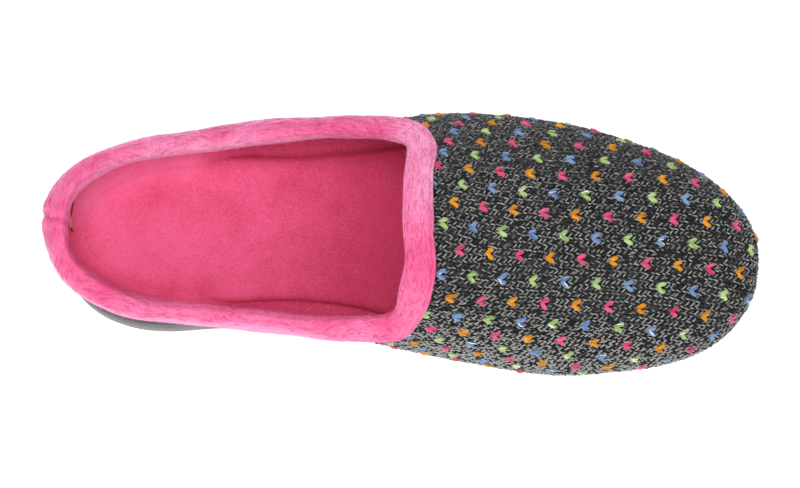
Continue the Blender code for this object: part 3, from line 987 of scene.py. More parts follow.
@dataclass
class PlushCollar:
    """The padded plush cuff that is folded over the open edge, with its back seam, bead and nap."""

    shop: Shop
    ribs: Ribs
    floor: float = 1.7
    hem_round: float = 2.0
    hem_share: float = 0.6
    fine: int = 4
    seam_depth: float = 1.0
    seam_width: float = 0.95
    seam_slant: float = 0.16
    seam_at: float = 0.9
    # Swelling on both sides of the seam: height, distance, width
    seam_lip: Triple = (0.3, 3.0, 1.6)
    bead_inset: float = 2.0
    bead_depth: float = 0.65
    bead_width: float = 0.7
    bead_from: Pair = (116.0, 127.0)
    # Deeper tone in the bead's groove and the seam: share of their widths, and the seam's part
    groove_share: float = 0.8
    seam_share: float = 0.9
    # Soft waves: height, length along the edge and up the band; height, length along and phase of finer ones
    waves: Row = (0.16, 6.4, 9.0, 0.12, 3.7, 1.3)
    # Points of the slot inside and outside the wall, as shares of the drop there
    slot_inside: Row = (1.0, 0.5, 0.0)
    slot_outside: Row = (0.0, 0.35, 0.7, 1.0)
    # A column of the net on the cuff's outer face, and the point of the ribs beside it
    face_column: int = 8
    face_point: int = 10
    side_blend: float = 10.0
    cloth_tone: float = 0.45
    pile: Pile = Pile(
        per_mm2=2.5, length=1.3, width=0.36, height=0.09, sink=0.07, lift=(7.0, 4.0),
        tone=(0.62, 0.07), stray=0.22, own_light=0.35,
    )
    locks: Pile = Pile(
        per_mm2=0.45, length=3.4, width=0.22, height=0.12, sink=-0.04, lift=(4.5, 1.5),
        tone=(0.14, 0.08), stray=0.2, own_light=0.15,
    )
    fuzz: Pile = Pile(
        per_mm2=0.35, length=1.3, width=0.1, height=0.07, sink=0.05, lift=(38.0, 14.0),
        tone=(0.75, 0.2), stray=1.2,
    )
    # Swings of the pile's lay: angle, length along, phase; angle, columns of the net, length along
    swings: Row = (0.4, 4.6, 0.8, 0.35, 5.5, 12.0)
    seed: int = 11
    # Tone marks: place along, place across, size, change of tone. They are partly patches where the pile is
    # brushed another way and partly painted light: the paler ones at the lateral rear and round the throat
    # are painted sheen where the nap catches the light, and some deeper ones are painted shade
    tone_marks: Marks = (
        (43, 28.8, 9, 0.2), (57.4, 29.3, 8, 0.22), (68.1, 31.1, 8, 0.2), (60.7, 33.6, 4.5, -0.3),
        (98.2, 38.7, 7, -0.1), (109, 39, 7, -0.14), (119.9, 37.9, 5, -0.22), (13.1, 17.2, 5, -0.15),
        (6, -1, 8, -0.16), (128.8, 37.8, 6, 0.18), (136.2, 33.9, 8, 0.26), (138.4, 23.5, 8, 0.27),
        (138.2, 15.5, 8, 0.3), (135.9, 6, 9, 0.12), (136.8, -9.7, 6, -0.2), (136.5, -17, 6, -0.12),
        (131.1, -30.2, 6, -0.1), (126, -33.4, 4, -0.24), (106.2, -31.3, 6, -0.12),
        (66.8, -30.8, 8, -0.12), (25, -24.2, 7, -0.28), (13.7, -15.8, 6, -0.22),
    )
    sizes: Sections = Sections(
        (
            "x", "outer_drop", "outer_lateral", "outer_medial",
            "inner_drop", "inner_lateral", "inner_medial", "roll",
        ),
        (
            (5, 30, 4.9, 4.5, 13, 1.6, 1.2, 4.4),
            (20, 30, 3.5, 5.2, 13, 1.7, 1.2, 4.2),
            (45, 30, 3.1, 4.2, 13, 2.1, 1.3, 4),
            (60, 26.6, 3.9, 3.8, 13, 1.9, 1.4, 4),
            (76, 22.4, 4.5, 3.3, 13, 1.8, 1.6, 4),
            (88, 19.6, 4.1, 3.1, 12.4, 1.4, 1.7, 3.9),
            (98, 17.2, 3.6, 3, 12, 1.5, 1.8, 3.8),
            (112, 13.6, 2.7, 2.9, 11.2, 2.2, 1.8, 3.6),
            (124, 10.6, 2.2, 2.7, 10.6, 2.4, 1.8, 3.4),
            (131, 8.8, 2.3, 2.6, 10, 2.2, 1.8, 3.2),
            (134, 6.4, 2.7, 2.7, 10, 1.8, 1.8, 3.2),
        ),
    )
    # Changes of the hem's drop and of the rolled edge round the throat
    hem_marks: Marks = (
        (133.4, 27, 5.5, 2), (129.5, 38.5, 4, -1.6), (133.6, -13, 9.5, 2.7), (132.8, -22, 5, 0.8),
        (124, -31.6, 6, 1.3),
    )
    roll_marks: Marks = ((133.7, 17.0, 9.0, 1.1), (133.7, -11.0, 9.0, -1.3))
    # Painted sheen where the cuff turns down at its sides, paler as the pile catches the light, and painted
    # shade
    # inside the medial wall: the change, and its share on the lateral wall, inside the medial one, outside it
    # and outside it at the throat
    pale_sides: float = 0.42
    pale_lateral: float = 1.8
    pale_inside: float = -0.4
    pale_outside: float = 2.0
    pale_front: float = 0.6
    pale_from: float = 12.0
    pale_fades: Pair = (70.0, 120.0)
    seam_tone: float = 0.22
    seam_thinning: float = 0.7
    # How straight the pile is combed along the throat
    combed: float = 0.8
    # Creases at the front corners: side, distance along the edge from the corner, up the band, slant, depth
    creases: tuple[tuple[Side, float, float, float, float], ...] = (
        (Side.LATERAL, -9.0, 9.0, 0.55, 0.5),
        (Side.LATERAL, -3.0, 11.0, 0.75, 0.42),
        (Side.LATERAL, 6.0, 8.0, -0.35, 0.3),
        (Side.MEDIAL, -6.0, 9.0, 0.6, 0.36),
        (Side.MEDIAL, 4.0, 7.0, -0.4, 0.3),
    )
    crease_width: float = 0.8
    crease_length: float = 5.0
    corner_x: float = 120.0

    def size(self, name: str) -> Array:
        """A size of the cuff at each rib."""
        return self.sizes.at(name, self.ribs.rim_x)

    def by_side(self, name: str) -> Array:
        """A size that differs between the two sides, blended over the heel and the throat."""
        across = self.ribs.points[:, 0, 1] - self.ribs.last.centre[1]
        share = ease(across, -self.side_blend, self.side_blend)
        return self.size(f"{name}_lateral") * share + self.size(f"{name}_medial") * (1.0 - share)

    def outer_drop(self) -> Array:
        """How far the cuff hangs down outside at each rib."""
        drop = self.size("outer_drop") + marked(self.ribs.points[:, 0], self.hem_marks)
        return np.minimum(drop, self.ribs.drop_to(self.floor))

    def section(self) -> ArrayPair:
        """The shown part of the cuff's section at each rib: distances down and out, from the hem inwards."""
        wall = self.ribs.last.wall
        drop, deep = self.outer_drop(), self.size("inner_drop")
        outer, inner = self.by_side("outer"), self.by_side("inner")
        hem = np.minimum(self.hem_round, self.hem_share * outer)
        roll = self.size("roll") + self.ribs.last.seat_gap + marked(self.ribs.points[:, 0], self.roll_marks)
        pairs = (
            (drop, outer - hem),
            (drop - 0.7 * hem, outer - 0.25 * hem),
            (0.72 * drop, 1.04 * outer),
            (0.40 * drop, 1.06 * outer),
            (0.12 * drop, 0.98 * outer),
            (-0.45 * roll, 0.66 * outer),
            (-0.88 * roll, 0.16 * outer),
            (-roll, -0.45 * wall + 0 * roll),
            (-0.86 * roll, -0.9 * wall + 0 * roll),
            (-0.42 * roll, -wall - 0.72 * inner),
            (0.15 * deep, -wall - inner),
            (0.60 * deep, -wall - inner),
            (0.92 * deep, -wall - 0.6 * inner),
        )
        knots = np.array(pairs)
        ahead = np.concatenate([knots[:1], knots, knots[-1:]])
        curve = []
        for k in range(len(knots) - 1):
            a, b, c, d = ahead[k : k + 4]
            for t in np.arange(self.fine) / self.fine:
                bend = (2 * a - 5 * b + 4 * c - d) * t**2 + (3 * b - a - 3 * c + d) * t**3
                curve.append(0.5 * (2 * b + (c - a) * t + bend))
        curve.append(knots[-1])
        shape = np.array(curve)
        return shape[:, 0].T, shape[:, 1].T

    def off_seam(self, up_band: Array) -> Array:
        """Distance along the edge from the slanting back seam."""
        slant = self.seam_slant * (up_band - up_band.mean())
        return self.ribs.from_seam[:, None] - self.seam_at - slant

    def front(self) -> Array:
        """1 round the throat, where the cuff has a bead, and 0 behind it."""
        return ease(self.ribs.rim_x, *self.bead_from)[:, None]

    def relief(self, grid: Array) -> Array:
        """Troughs and swells of the cuff: back seam, bead at the throat, corner creases and soft waves.

        Args:
            grid: The net of the cuff's face.

        Returns:
            The height at each point.
        """
        from_seam = self.ribs.from_seam[:, None]
        up_band = run_length(grid)
        off_seam = self.off_seam(up_band)
        lip_height, lip_off, lip_width = self.seam_lip
        seam = -self.seam_depth * bell(off_seam, self.seam_width)
        seam = seam + lip_height * bell(np.abs(off_seam) - lip_off, lip_width)
        bead = -self.bead_depth * self.front() * bell(up_band - self.bead_inset, self.bead_width)
        broad, along, up, fine, short, phase = self.waves
        waves = broad * np.sin(from_seam / along + up_band / up)
        waves = waves + fine * np.sin(from_seam / short + phase)
        made = seam + bead + waves
        for side, past, height, slant, depth in self.creases:
            on_side = np.sign(self.ribs.points[:, 0, 1] - self.ribs.last.centre[1]) == side.value
            gap = np.where(on_side, np.abs(self.ribs.rim_x - self.corner_x), np.inf)
            corner = np.abs(self.ribs.from_seam[int(np.argmin(gap))])
            line = np.abs(from_seam) - corner - past - slant * (up_band - height)
            crease = bell(line, self.crease_width) * bell(up_band - height, self.crease_length)
            made = made - depth * on_side[:, None] * crease
        return made

    def build(self, dye: Material) -> None:
        """Makes the cuff and its nap."""
        last = self.ribs.last
        down, out = self.section()
        shown = self.ribs.place(down, out)
        _, _, normal = net_axes(shown, wraps=True)
        facing = normal[:, self.face_column] * self.ribs.normals[:, self.face_point]
        outward = np.sign(np.sum(facing, axis=-1).mean())
        shown = shown + (self.relief(shown) * outward)[..., None] * normal
        drop, deep = self.outer_drop()[:, None], self.size("inner_drop")[:, None]
        gap = last.seat_gap
        inside, outside = np.array(self.slot_inside), np.array(self.slot_outside)
        over_edge = np.full((self.ribs.count, 2), -gap)
        slot_down = np.concatenate([deep * inside, over_edge, drop * outside], axis=1)
        slot_out = [-last.wall - gap] * (len(inside) + 1) + [gap] * (len(outside) + 1)
        slot_out = np.tile(slot_out, (self.ribs.count, 1))
        whole = np.concatenate([shown, self.ribs.place(slot_down, slot_out)], axis=1)
        marks = self.lines(shown)
        tone = np.zeros(whole.shape[:2])
        _, _, normal = net_axes(shown, wraps=True)
        turned = self.turned(shown, normal * outward)
        # The cloth's tone carries the marks' painted light and shade, and the painted sheen and shade of
        # turned()
        tone_marks = self.cloth_tone + marked(shown, self.tone_marks) + turned
        tone[:, : shown.shape[1]] = tone_marks - self.seam_tone * marks
        piece = self.shop.wrapped_grid("plush_collar", close_both(whole), close_both(tone))
        self.shop.hand_over(piece, dye, Slot.COLLAR, "collar")
        self.nap(shown, outward, 1.0 - self.seam_thinning * marks, dye)

    def turned(self, points: Array, normals: Array) -> Array:
        """Painted sheen and shade where the pile is seen from its side: paler where the cuff turns down,
        deeper inside the medial wall.

        Args:
            points: Places on the cuff.
            normals: Its outward normals there.

        Returns:
            The change at each place.
        """
        across = points[..., 1] - self.ribs.last.centre[1]
        forward = ease(points[..., 0], *self.pale_fades)
        level = 1.0 - np.clip(normals[..., 2], 0.0, 1.0)
        outside = self.pale_outside + (self.pale_front - self.pale_outside) * forward
        share = np.where(normals[..., 1] > 0.0, self.pale_inside, outside)
        medial = (share - 1.0) * ease(-across, 0.0, self.pale_from)
        lateral = (self.pale_lateral - 1.0) * (ease(across, 0.0, self.pale_from) * (1.0 - forward))
        return self.pale_sides * level**2 * (1.0 + medial + lateral)

    def lines(self, shown: Array) -> Array:
        """1 in the bead's groove and in the back seam, 0 elsewhere."""
        up_band = run_length(shown)
        bead = self.front() * bell(up_band - self.bead_inset, self.groove_share * self.bead_width)
        seam = self.seam_share * bell(self.off_seam(up_band), self.groove_share * self.seam_width)
        return np.maximum(bead, seam)

    def nap(self, shown: Array, outward: float, weight: Array, dye: Material) -> None:
        """Lays the pile along the band, swung a little this way and that, with locks and standing fibres.

        Args:
            shown: The net of the cuff's face.
            outward: 1 if the net's normals point out, -1 if they point in.
            weight: Share of the pile at each point of the net.
            dye: The finish.
        """
        rng = np.random.default_rng(self.seed)
        _, _, normal = net_axes(shown, wraps=True)
        from_above = np.sqrt(np.clip(outward * normal[..., 2], 0.0, 1.0))
        layers = (
            ("collar_nap", self.pile, weight),
            ("collar_locks", self.locks, weight * from_above),
            ("collar_fuzz", self.fuzz, weight),
        )
        swing, length, phase, sway, breadth, drift = self.swings
        for name, pile, share in layers:
            spots = scatter(shown, True, pile.per_mm2, share, rng)
            spots.normals *= outward
            rib = spots.row % self.ribs.count
            seam_gap = np.abs(np.interp(rib, np.arange(self.ribs.count), self.ribs.from_seam))
            forward = np.where(spots.along[:, :1] < 0, -1.0, 1.0)
            swirl = swing * np.sin(seam_gap / length + phase)
            swirl = swirl + sway * np.sin(spots.column / breadth + seam_gap / drift)
            swirl *= 1.0 - self.combed * ease(spots.points[:, 0], *self.bead_from)
            swirl += rng.normal(0.0, pile.stray, len(seam_gap))
            flat = spots.along * forward * np.cos(swirl)[:, None] + spots.across * np.sin(swirl)[:, None]
            # The pile carries the same painted light and shade as the cloth under it
            change = marked(spots.points, self.tone_marks) + self.turned(spots.points, spots.normals)
            self.shop.hand_over(pile.grow(self.shop, name, spots, flat, change, rng), dye, Slot.COLLAR)


@dataclass
class PlushInsole:
    """The padded plush footbed."""

    shop: Shop
    last: Last
    thickness: float = 5.6
    stations: int = 150
    across: int = 56
    # Hollow under the heel: depth, place along and length, place across and width
    dish: Row = (0.7, 42.0, 26.0, 1.5, 16.0)
    # Half width over which the padding starts
    pad_from: Pair = (3.0, 12.0)
    # Waves of the top in mm and swings of the pile's lay in radians
    waves: Row = (0.22, 11.0, 0.7, 9.0, 0.3)
    swings: Row = (0.9, 13.0, 0.4, 10.0, 1.0)
    cloth_tone: float = 0.45
    pile: Pile = Pile(
        per_mm2=2.8, length=1.2, width=0.32, height=0.1, sink=0.07, lift=(8.0, 4.0),
        tone=(0.56, 0.13), stray=0.45, own_light=0.22,
    )
    shown_fades: Pair = (138.0, 158.0)
    # Painted shade: the footbed's tone deepens towards the toe, where the vamp shades it
    shaded_from: Pair = (70.0, 130.0)
    shaded_tone: float = -0.5
    # Tone marks: place along, place across, size, change of tone. A few are deeper patches of pile; the
    # others are painted light: paler at the heel and along the lateral edge where the light falls, and a
    # painted shadow along the medial rear wall
    tone_marks: Marks = (
        (37.7, 16.5, 8, -0.2), (66.3, 8.7, 11, -0.12), (25.2, 7.2, 7, -0.1), (50, -10, 14, 0.05),
        (20, 2, 12, 0.18), (24.6, -14.9, 9, 0.14), (57.9, -20, 12, -0.06), (17, -14.5, 5.5, -0.2),
        (26, -20, 5.5, -0.24), (36, -22, 5.5, -0.24), (47, -22.5, 5.5, -0.24), (59, -21.5, 5, -0.18),
        (13.5, 8.5, 5, 0.28), (19, 14.5, 5.5, 0.32), (27, 19.5, 6, 0.34), (37, 23, 6.5, 0.36),
        (49, 25.5, 6.5, 0.3), (88, 22, 9, -0.1), (96, -8, 12, -0.08),
    )
    seed: int = 23
    # Side of the pad from its seat up: share of the thickness, inset
    side: tuple[Pair, ...] = (
        (0, 0.9), (0.18, 0), (0.55, 0), (0.8, 0.7), (0.95, 2.2), (1, 5),
    )

    def top_net(self) -> ArrayPair:
        """Rows of points over the pad's sides and top, from its inner to its outer seat, and under it."""
        x = spaced(*self.last.insole_ends[:2], self.stations)
        lateral = self.last.insole_half(x, np.ones(self.stations))
        medial = self.last.insole_half(x, -np.ones(self.stations))
        rise = np.array(self.side)
        half = np.minimum(lateral, medial)[:, None]
        inner = drawn_in(x, -medial, rise[:, 1])
        outer = drawn_in(x, lateral, rise[:, 1])
        middle = (1.0 + np.sin(np.linspace(-math.pi / 2, math.pi / 2, self.across))[1:-1, None]) / 2
        between = inner[:, -1:] * (1.0 - middle) + outer[:, -1:] * middle
        plan = np.concatenate([inner, between, outer[:, ::-1]], axis=1)
        share = np.concatenate([rise[:, 0], np.ones(self.across - 2), rise[::-1, 0]])
        seat = self.last.platform(plan[..., :1]) + self.last.seat_gap
        grid = np.concatenate([plan, seat + (share * self.thickness)[:, None]], axis=-1)
        pad = (share == 1.0) * ease(half, *self.pad_from)
        depth, heel_x, heel_length, heel_y, heel_width = self.dish
        heel = bell(grid[..., 0] - heel_x, heel_length) * bell(grid[..., 1] - heel_y, heel_width)
        grid[..., 2] += pad * (swell(grid, self.waves) - depth * heel)
        under = grid[:, ::-1].copy()
        under[..., 2:] = seat[:, ::-1]
        step = len(self.side)
        return grid, under[:, step:-step:step]

    def build(self, dye: Material) -> None:
        """Makes the pad and its nap."""
        top, under = self.top_net()
        whole = np.concatenate([top, under, top[:, :1]], axis=1)
        piece = self.shop.wrapped_grid("plush_insole", whole, self.cloth_tone + self.tone_change(whole))
        self.shop.hand_over(piece, dye, Slot.INSOLE, "insole")
        self.nap(top, dye)

    def nap(self, top: Array, dye: Material) -> None:
        """Lays the short pile towards the toe, with its tone marks and painted shade."""
        rng = np.random.default_rng(self.seed)
        shown = 1.0 - ease(top[..., 0], *self.shown_fades)
        spots = scatter(top, False, self.pile.per_mm2, shown, rng)
        spots.normals *= np.sign(spots.normals[:, 2].mean())
        change = self.tone_change(spots.points)
        piece = self.pile.grow(self.shop, "insole_nap", spots, self.lay(spots, rng), change, rng)
        self.shop.hand_over(piece, dye, Slot.INSOLE)

    def lay(self, spots: Spots, rng: Chance) -> Array:
        """The direction in which the pile lies: towards the toe, brushed this way and that."""
        swirl = swell(spots.points, self.swings) + rng.normal(0.0, self.pile.stray, len(spots.points))
        return square_to(np.stack([np.cos(swirl), np.sin(swirl), 0.0 * swirl], axis=-1), spots.normals)

    def tone_change(self, points: Array) -> Array:
        """Tone marks, and painted shade that deepens the footbed towards the toe, under the vamp."""
        return marked(points, self.tone_marks) + self.shaded_tone * ease(points[..., 0], *self.shaded_from)


@dataclass
class UpperShell:
    """The upper's two layers: the dark backing under the stitches and the plush lining inside."""

    shop: Shop
    ribs: Ribs
    insole: PlushInsole
    backing_out: float = -1.0
    backing_in: float = -1.7
    backing_foot: Pair = (0.2, -1.0)
    lining_out: float = -1.75
    lining_foot: float = 3.0
    rows: int = 26
    lining_rows: int = 20
    turn_rows: int = 10
    foot_from: float = 0.75
    wall_tone: float = 0.4
    # The lining's foot at the heel and at the waist: heights where it leaves the wall, turns and meets the
    # footbed, and how far it laps over the footbed
    turn_height: Pair = (13.0, 9.0)
    turn_foot: Pair = (6.2, 2.4)
    turn_meets: Pair = (5.35, 2.2)
    turn_laps: Pair = (5.0, 0.5)
    # Painted shade at the waist, where the foot meets the footbed in a crease: tone of its cloth and of its
    # nap
    painted_crease_tones: Pair = (0.04, 0.26)
    turn_opens: Pair = (50.0, 74.0)
    turn_inset: float = 0.8
    turn_seat: float = 1.2
    # The lining's pile is toned deeper than the footbed's: painted shade on the inner wall
    pile: Pile = Pile(
        per_mm2=1.5, length=1.5, width=0.38, height=0.12, sink=0.08, lift=(10.0, 5.0),
        tone=(0.35, 0.2), stray=0.6, own_light=0.4,
    )
    shown_fades: Pair = (137.0, 152.0)
    foot_height: float = 60.0
    seed: int = 31

    def layer(self, ends: Array, rows: int, face: Pair, foot: Pair) -> ArrayPair:
        """A layer of the wall.

        Args:
            ends: How far down each rib it reaches.
            rows: Its rows of points.
            face: How far out its two faces lie.
            foot: How far out they lie at its foot.

        Returns:
            Its closed net, and the rows of its inner face.
        """
        share = np.linspace(0.0, 1.0, rows)
        down = ends[:, None] * share
        low = ease(share, self.foot_from, 1.0)
        outs = (np.tile(a + (b - a) * low, (len(ends), 1)) for a, b in zip(face, foot))
        outer, inner = (self.ribs.place(down, out) for out in outs)
        return close_both(np.concatenate([outer, inner[:, ::-1]], axis=1)), inner

    def build(self, knit: Material, dye: Material) -> None:
        """Makes both layers, the lining's foot and their naps."""
        tone = np.array(self.wall_tone)
        face = (self.backing_out, self.backing_in)
        shell, _ = self.layer(self.ribs.along[:, -1], self.rows, face, self.backing_foot)
        self.shop.hand_over(self.shop.wrapped_grid("knit_backing", shell, tone), knit, Slot.UPPER, "upper")
        face = (self.lining_out, -self.ribs.last.wall)
        shell, inside = self.layer(self.ribs.drop_to(self.lining_foot), self.lining_rows, face, face)
        self.shop.hand_over(self.shop.wrapped_grid("plush_lining", shell, tone), dye, Slot.INSOLE)
        turn, fold = self.turn_in()
        base = self.insole.cloth_tone
        tone = base + self.turn_change(fold, self.painted_crease_tones[0] - base)
        self.shop.hand_over(self.shop.wrapped_grid("lining_turn_in", fold, tone), dye, Slot.INSOLE)
        self.naps(inside, turn, dye)

    def naps(self, inside: Array, turn: Array, dye: Material) -> None:
        """Lays the lining's pile along its rows, and that of its foot as the footbed's.

        Args:
            inside: Rows of points of the lining's face.
            turn: Rows of points of its foot.
            dye: The finish.
        """
        rng = np.random.default_rng(self.seed)
        spots = self.inside_spots(inside, self.pile, rng)
        swirl = rng.normal(0.0, self.pile.stray, len(spots.points))
        flat = spots.across * np.cos(swirl)[:, None] + spots.along * np.sin(swirl)[:, None]
        piece = self.pile.grow(self.shop, "lining_nap", spots, flat, np.zeros(len(swirl)), rng)
        self.shop.hand_over(piece, dye, Slot.INSOLE)
        pile = self.insole.pile
        spots = self.inside_spots(turn, pile, rng)
        change = self.turn_change(spots.points, self.painted_crease_tones[1] - pile.tone[0])
        piece = pile.grow(self.shop, "turn_in_nap", spots, self.insole.lay(spots, rng), change, rng)
        self.shop.hand_over(piece, dye, Slot.INSOLE)

    def along_turn(self, sizes: Pair) -> Array:
        """A size of the turn at each rib, from its value at the heel to that at the waist."""
        heel, waist = sizes
        return heel + (waist - heel) * ease(self.ribs.rim_x, *self.turn_opens)

    def turn_in(self) -> ArrayPair:
        """The lining's foot, turned in from the wall to the footbed's edge in a soft hollow.

        Returns:
            Its rows from the wall to the footbed, and its closed net.
        """
        ribs, last = self.ribs, self.ribs.last
        down = ribs.drop_to(self.along_turn(self.turn_height))[:, None]
        wall = ribs.place(down, np.full(down.shape, -last.wall))
        low = ribs.drop_to(self.along_turn(self.turn_foot))[:, None]
        foot = ribs.place(low, np.full(low.shape, -last.wall - self.turn_inset))
        reach = last.insole_distance(ribs.angles) - self.along_turn(self.turn_laps)
        x, y = last.ray(ribs.angles, reach)
        z = last.platform(x) + last.seat_gap + self.along_turn(self.turn_meets)
        meet = np.stack([x, y, z], axis=-1)[:, None]
        t = np.linspace(0.0, 1.0, self.turn_rows)[None, :, None]
        turn = wall * (1 - t) ** 2 + 2 * foot * t * (1 - t) + meet * t**2
        under = np.concatenate([turn[:, -1:], foot], axis=1)
        under[..., 2] = last.platform(under[..., 0]) + last.seat_gap + self.turn_seat
        return turn, close_both(np.concatenate([turn, under, foot], axis=1))

    def turn_change(self, points: Array, waist: float) -> Array:
        """Change of tone of the lining's foot: the footbed's at the heel, painted crease shade at the waist.
        """
        opens = ease(points[..., 0], *self.turn_opens)
        return self.insole.tone_change(points) * (1.0 - opens) + waist * opens

    def inside_spots(self, inside: Array, pile: Pile, rng: Chance) -> Spots:
        """Places for a pile where the lining can be seen from the opening.

        Args:
            inside: Rows of points of the lining's face.
            pile: The pile.
            rng: The source of chance.

        Returns:
            The places, with normals towards the foot.
        """
        shown = 1.0 - ease(inside[..., 0], *self.shown_fades)
        spots = scatter(inside, True, pile.per_mm2, shown, rng)
        ankle = np.array([*self.ribs.last.centre, self.foot_height])
        facing = np.sum(spots.normals * (spots.points - ankle), axis=-1)
        spots.normals *= -np.sign(np.median(facing))
        return spots


@dataclass
class SeamTape:
    """The back seam's frayed tape end between the cuff and the footbed, with dark threads as painted gap
    shadow.
    """

    shop: Shop
    # Threads of the end: points, radius, tone; those of tone 0 are dark painted shadow of the gap under the
    # cuff
    threads: tuple[tuple[tuple[Triple, ...], float, float], ...] = (
        (((10, 2.5, 34.5), (9.8, 1.2, 35), (9.8, -0.3, 35), (10.1, -1.4, 34)), 0.34, 0.95),
        (((10.3, 1.9, 34.2), (10.2, 0.9, 34.5), (10.3, -0.2, 34.2), (10.7, -1, 33.4)), 0.26, 0.6),
        (((9.9, -1.2, 34.2), (10.2, -1.7, 33.8), (10.5, -2.1, 33.2), (10.9, -2.3, 32.6)), 0.36, 0),
        (((10.3, 8.8, 34), (10.1, 7.2, 34.2), (10, 5.2, 34.4), (10, 3.2, 34.6)), 0.3, 0),
    )
    sides: int = 6

    def build(self, cotton: Material) -> None:
        """Makes the threads as one piece."""
        lines = np.array([points for points, _, _ in self.threads])
        taper = np.array([0.7, 1.0, 1.0, 0.6])
        radius = np.array([size for _, size, _ in self.threads])[:, None] * taper
        facing = np.tile([0.0, 0.0, 1.0], (len(lines), 1))
        tone = [shade for _, _, shade in self.threads]
        piece = self.shop.strands("tape_end_and_painted_shadow", [(lines, radius, facing, self.sides, tone)])
        self.shop.hand_over(piece, cotton, Slot.COLLAR)


@dataclass
class Stitches:
    """Knit stitches on the upper: place, directions along the wale, aside and out, numbers in the chart."""

    points: Array
    along: Array
    aside: Array
    normals: Array
    wale: Array
    course: Array

    def pick(self, keep: Array) -> "Stitches":
        """The stitches where keep is true."""
        return Stitches(*(getattr(self, name)[keep] for name in self.__dataclass_fields__))

    @classmethod
    def together(cls, parts: list["Stitches"]) -> "Stitches":
        """The stitches of several parts."""
        return cls(*(np.concatenate([getattr(p, name) for p in parts]) for name in cls.__dataclass_fields__))

    def local(self, offsets: Array) -> Array:
        """Points given in the stitches' own axes, as along, aside and out."""
        return (
            self.points[:, None]
            + offsets[..., :1] * self.along[:, None]
            + offsets[..., 1:2] * self.aside[:, None]
            + offsets[..., 2:] * self.normals[:, None]
        )


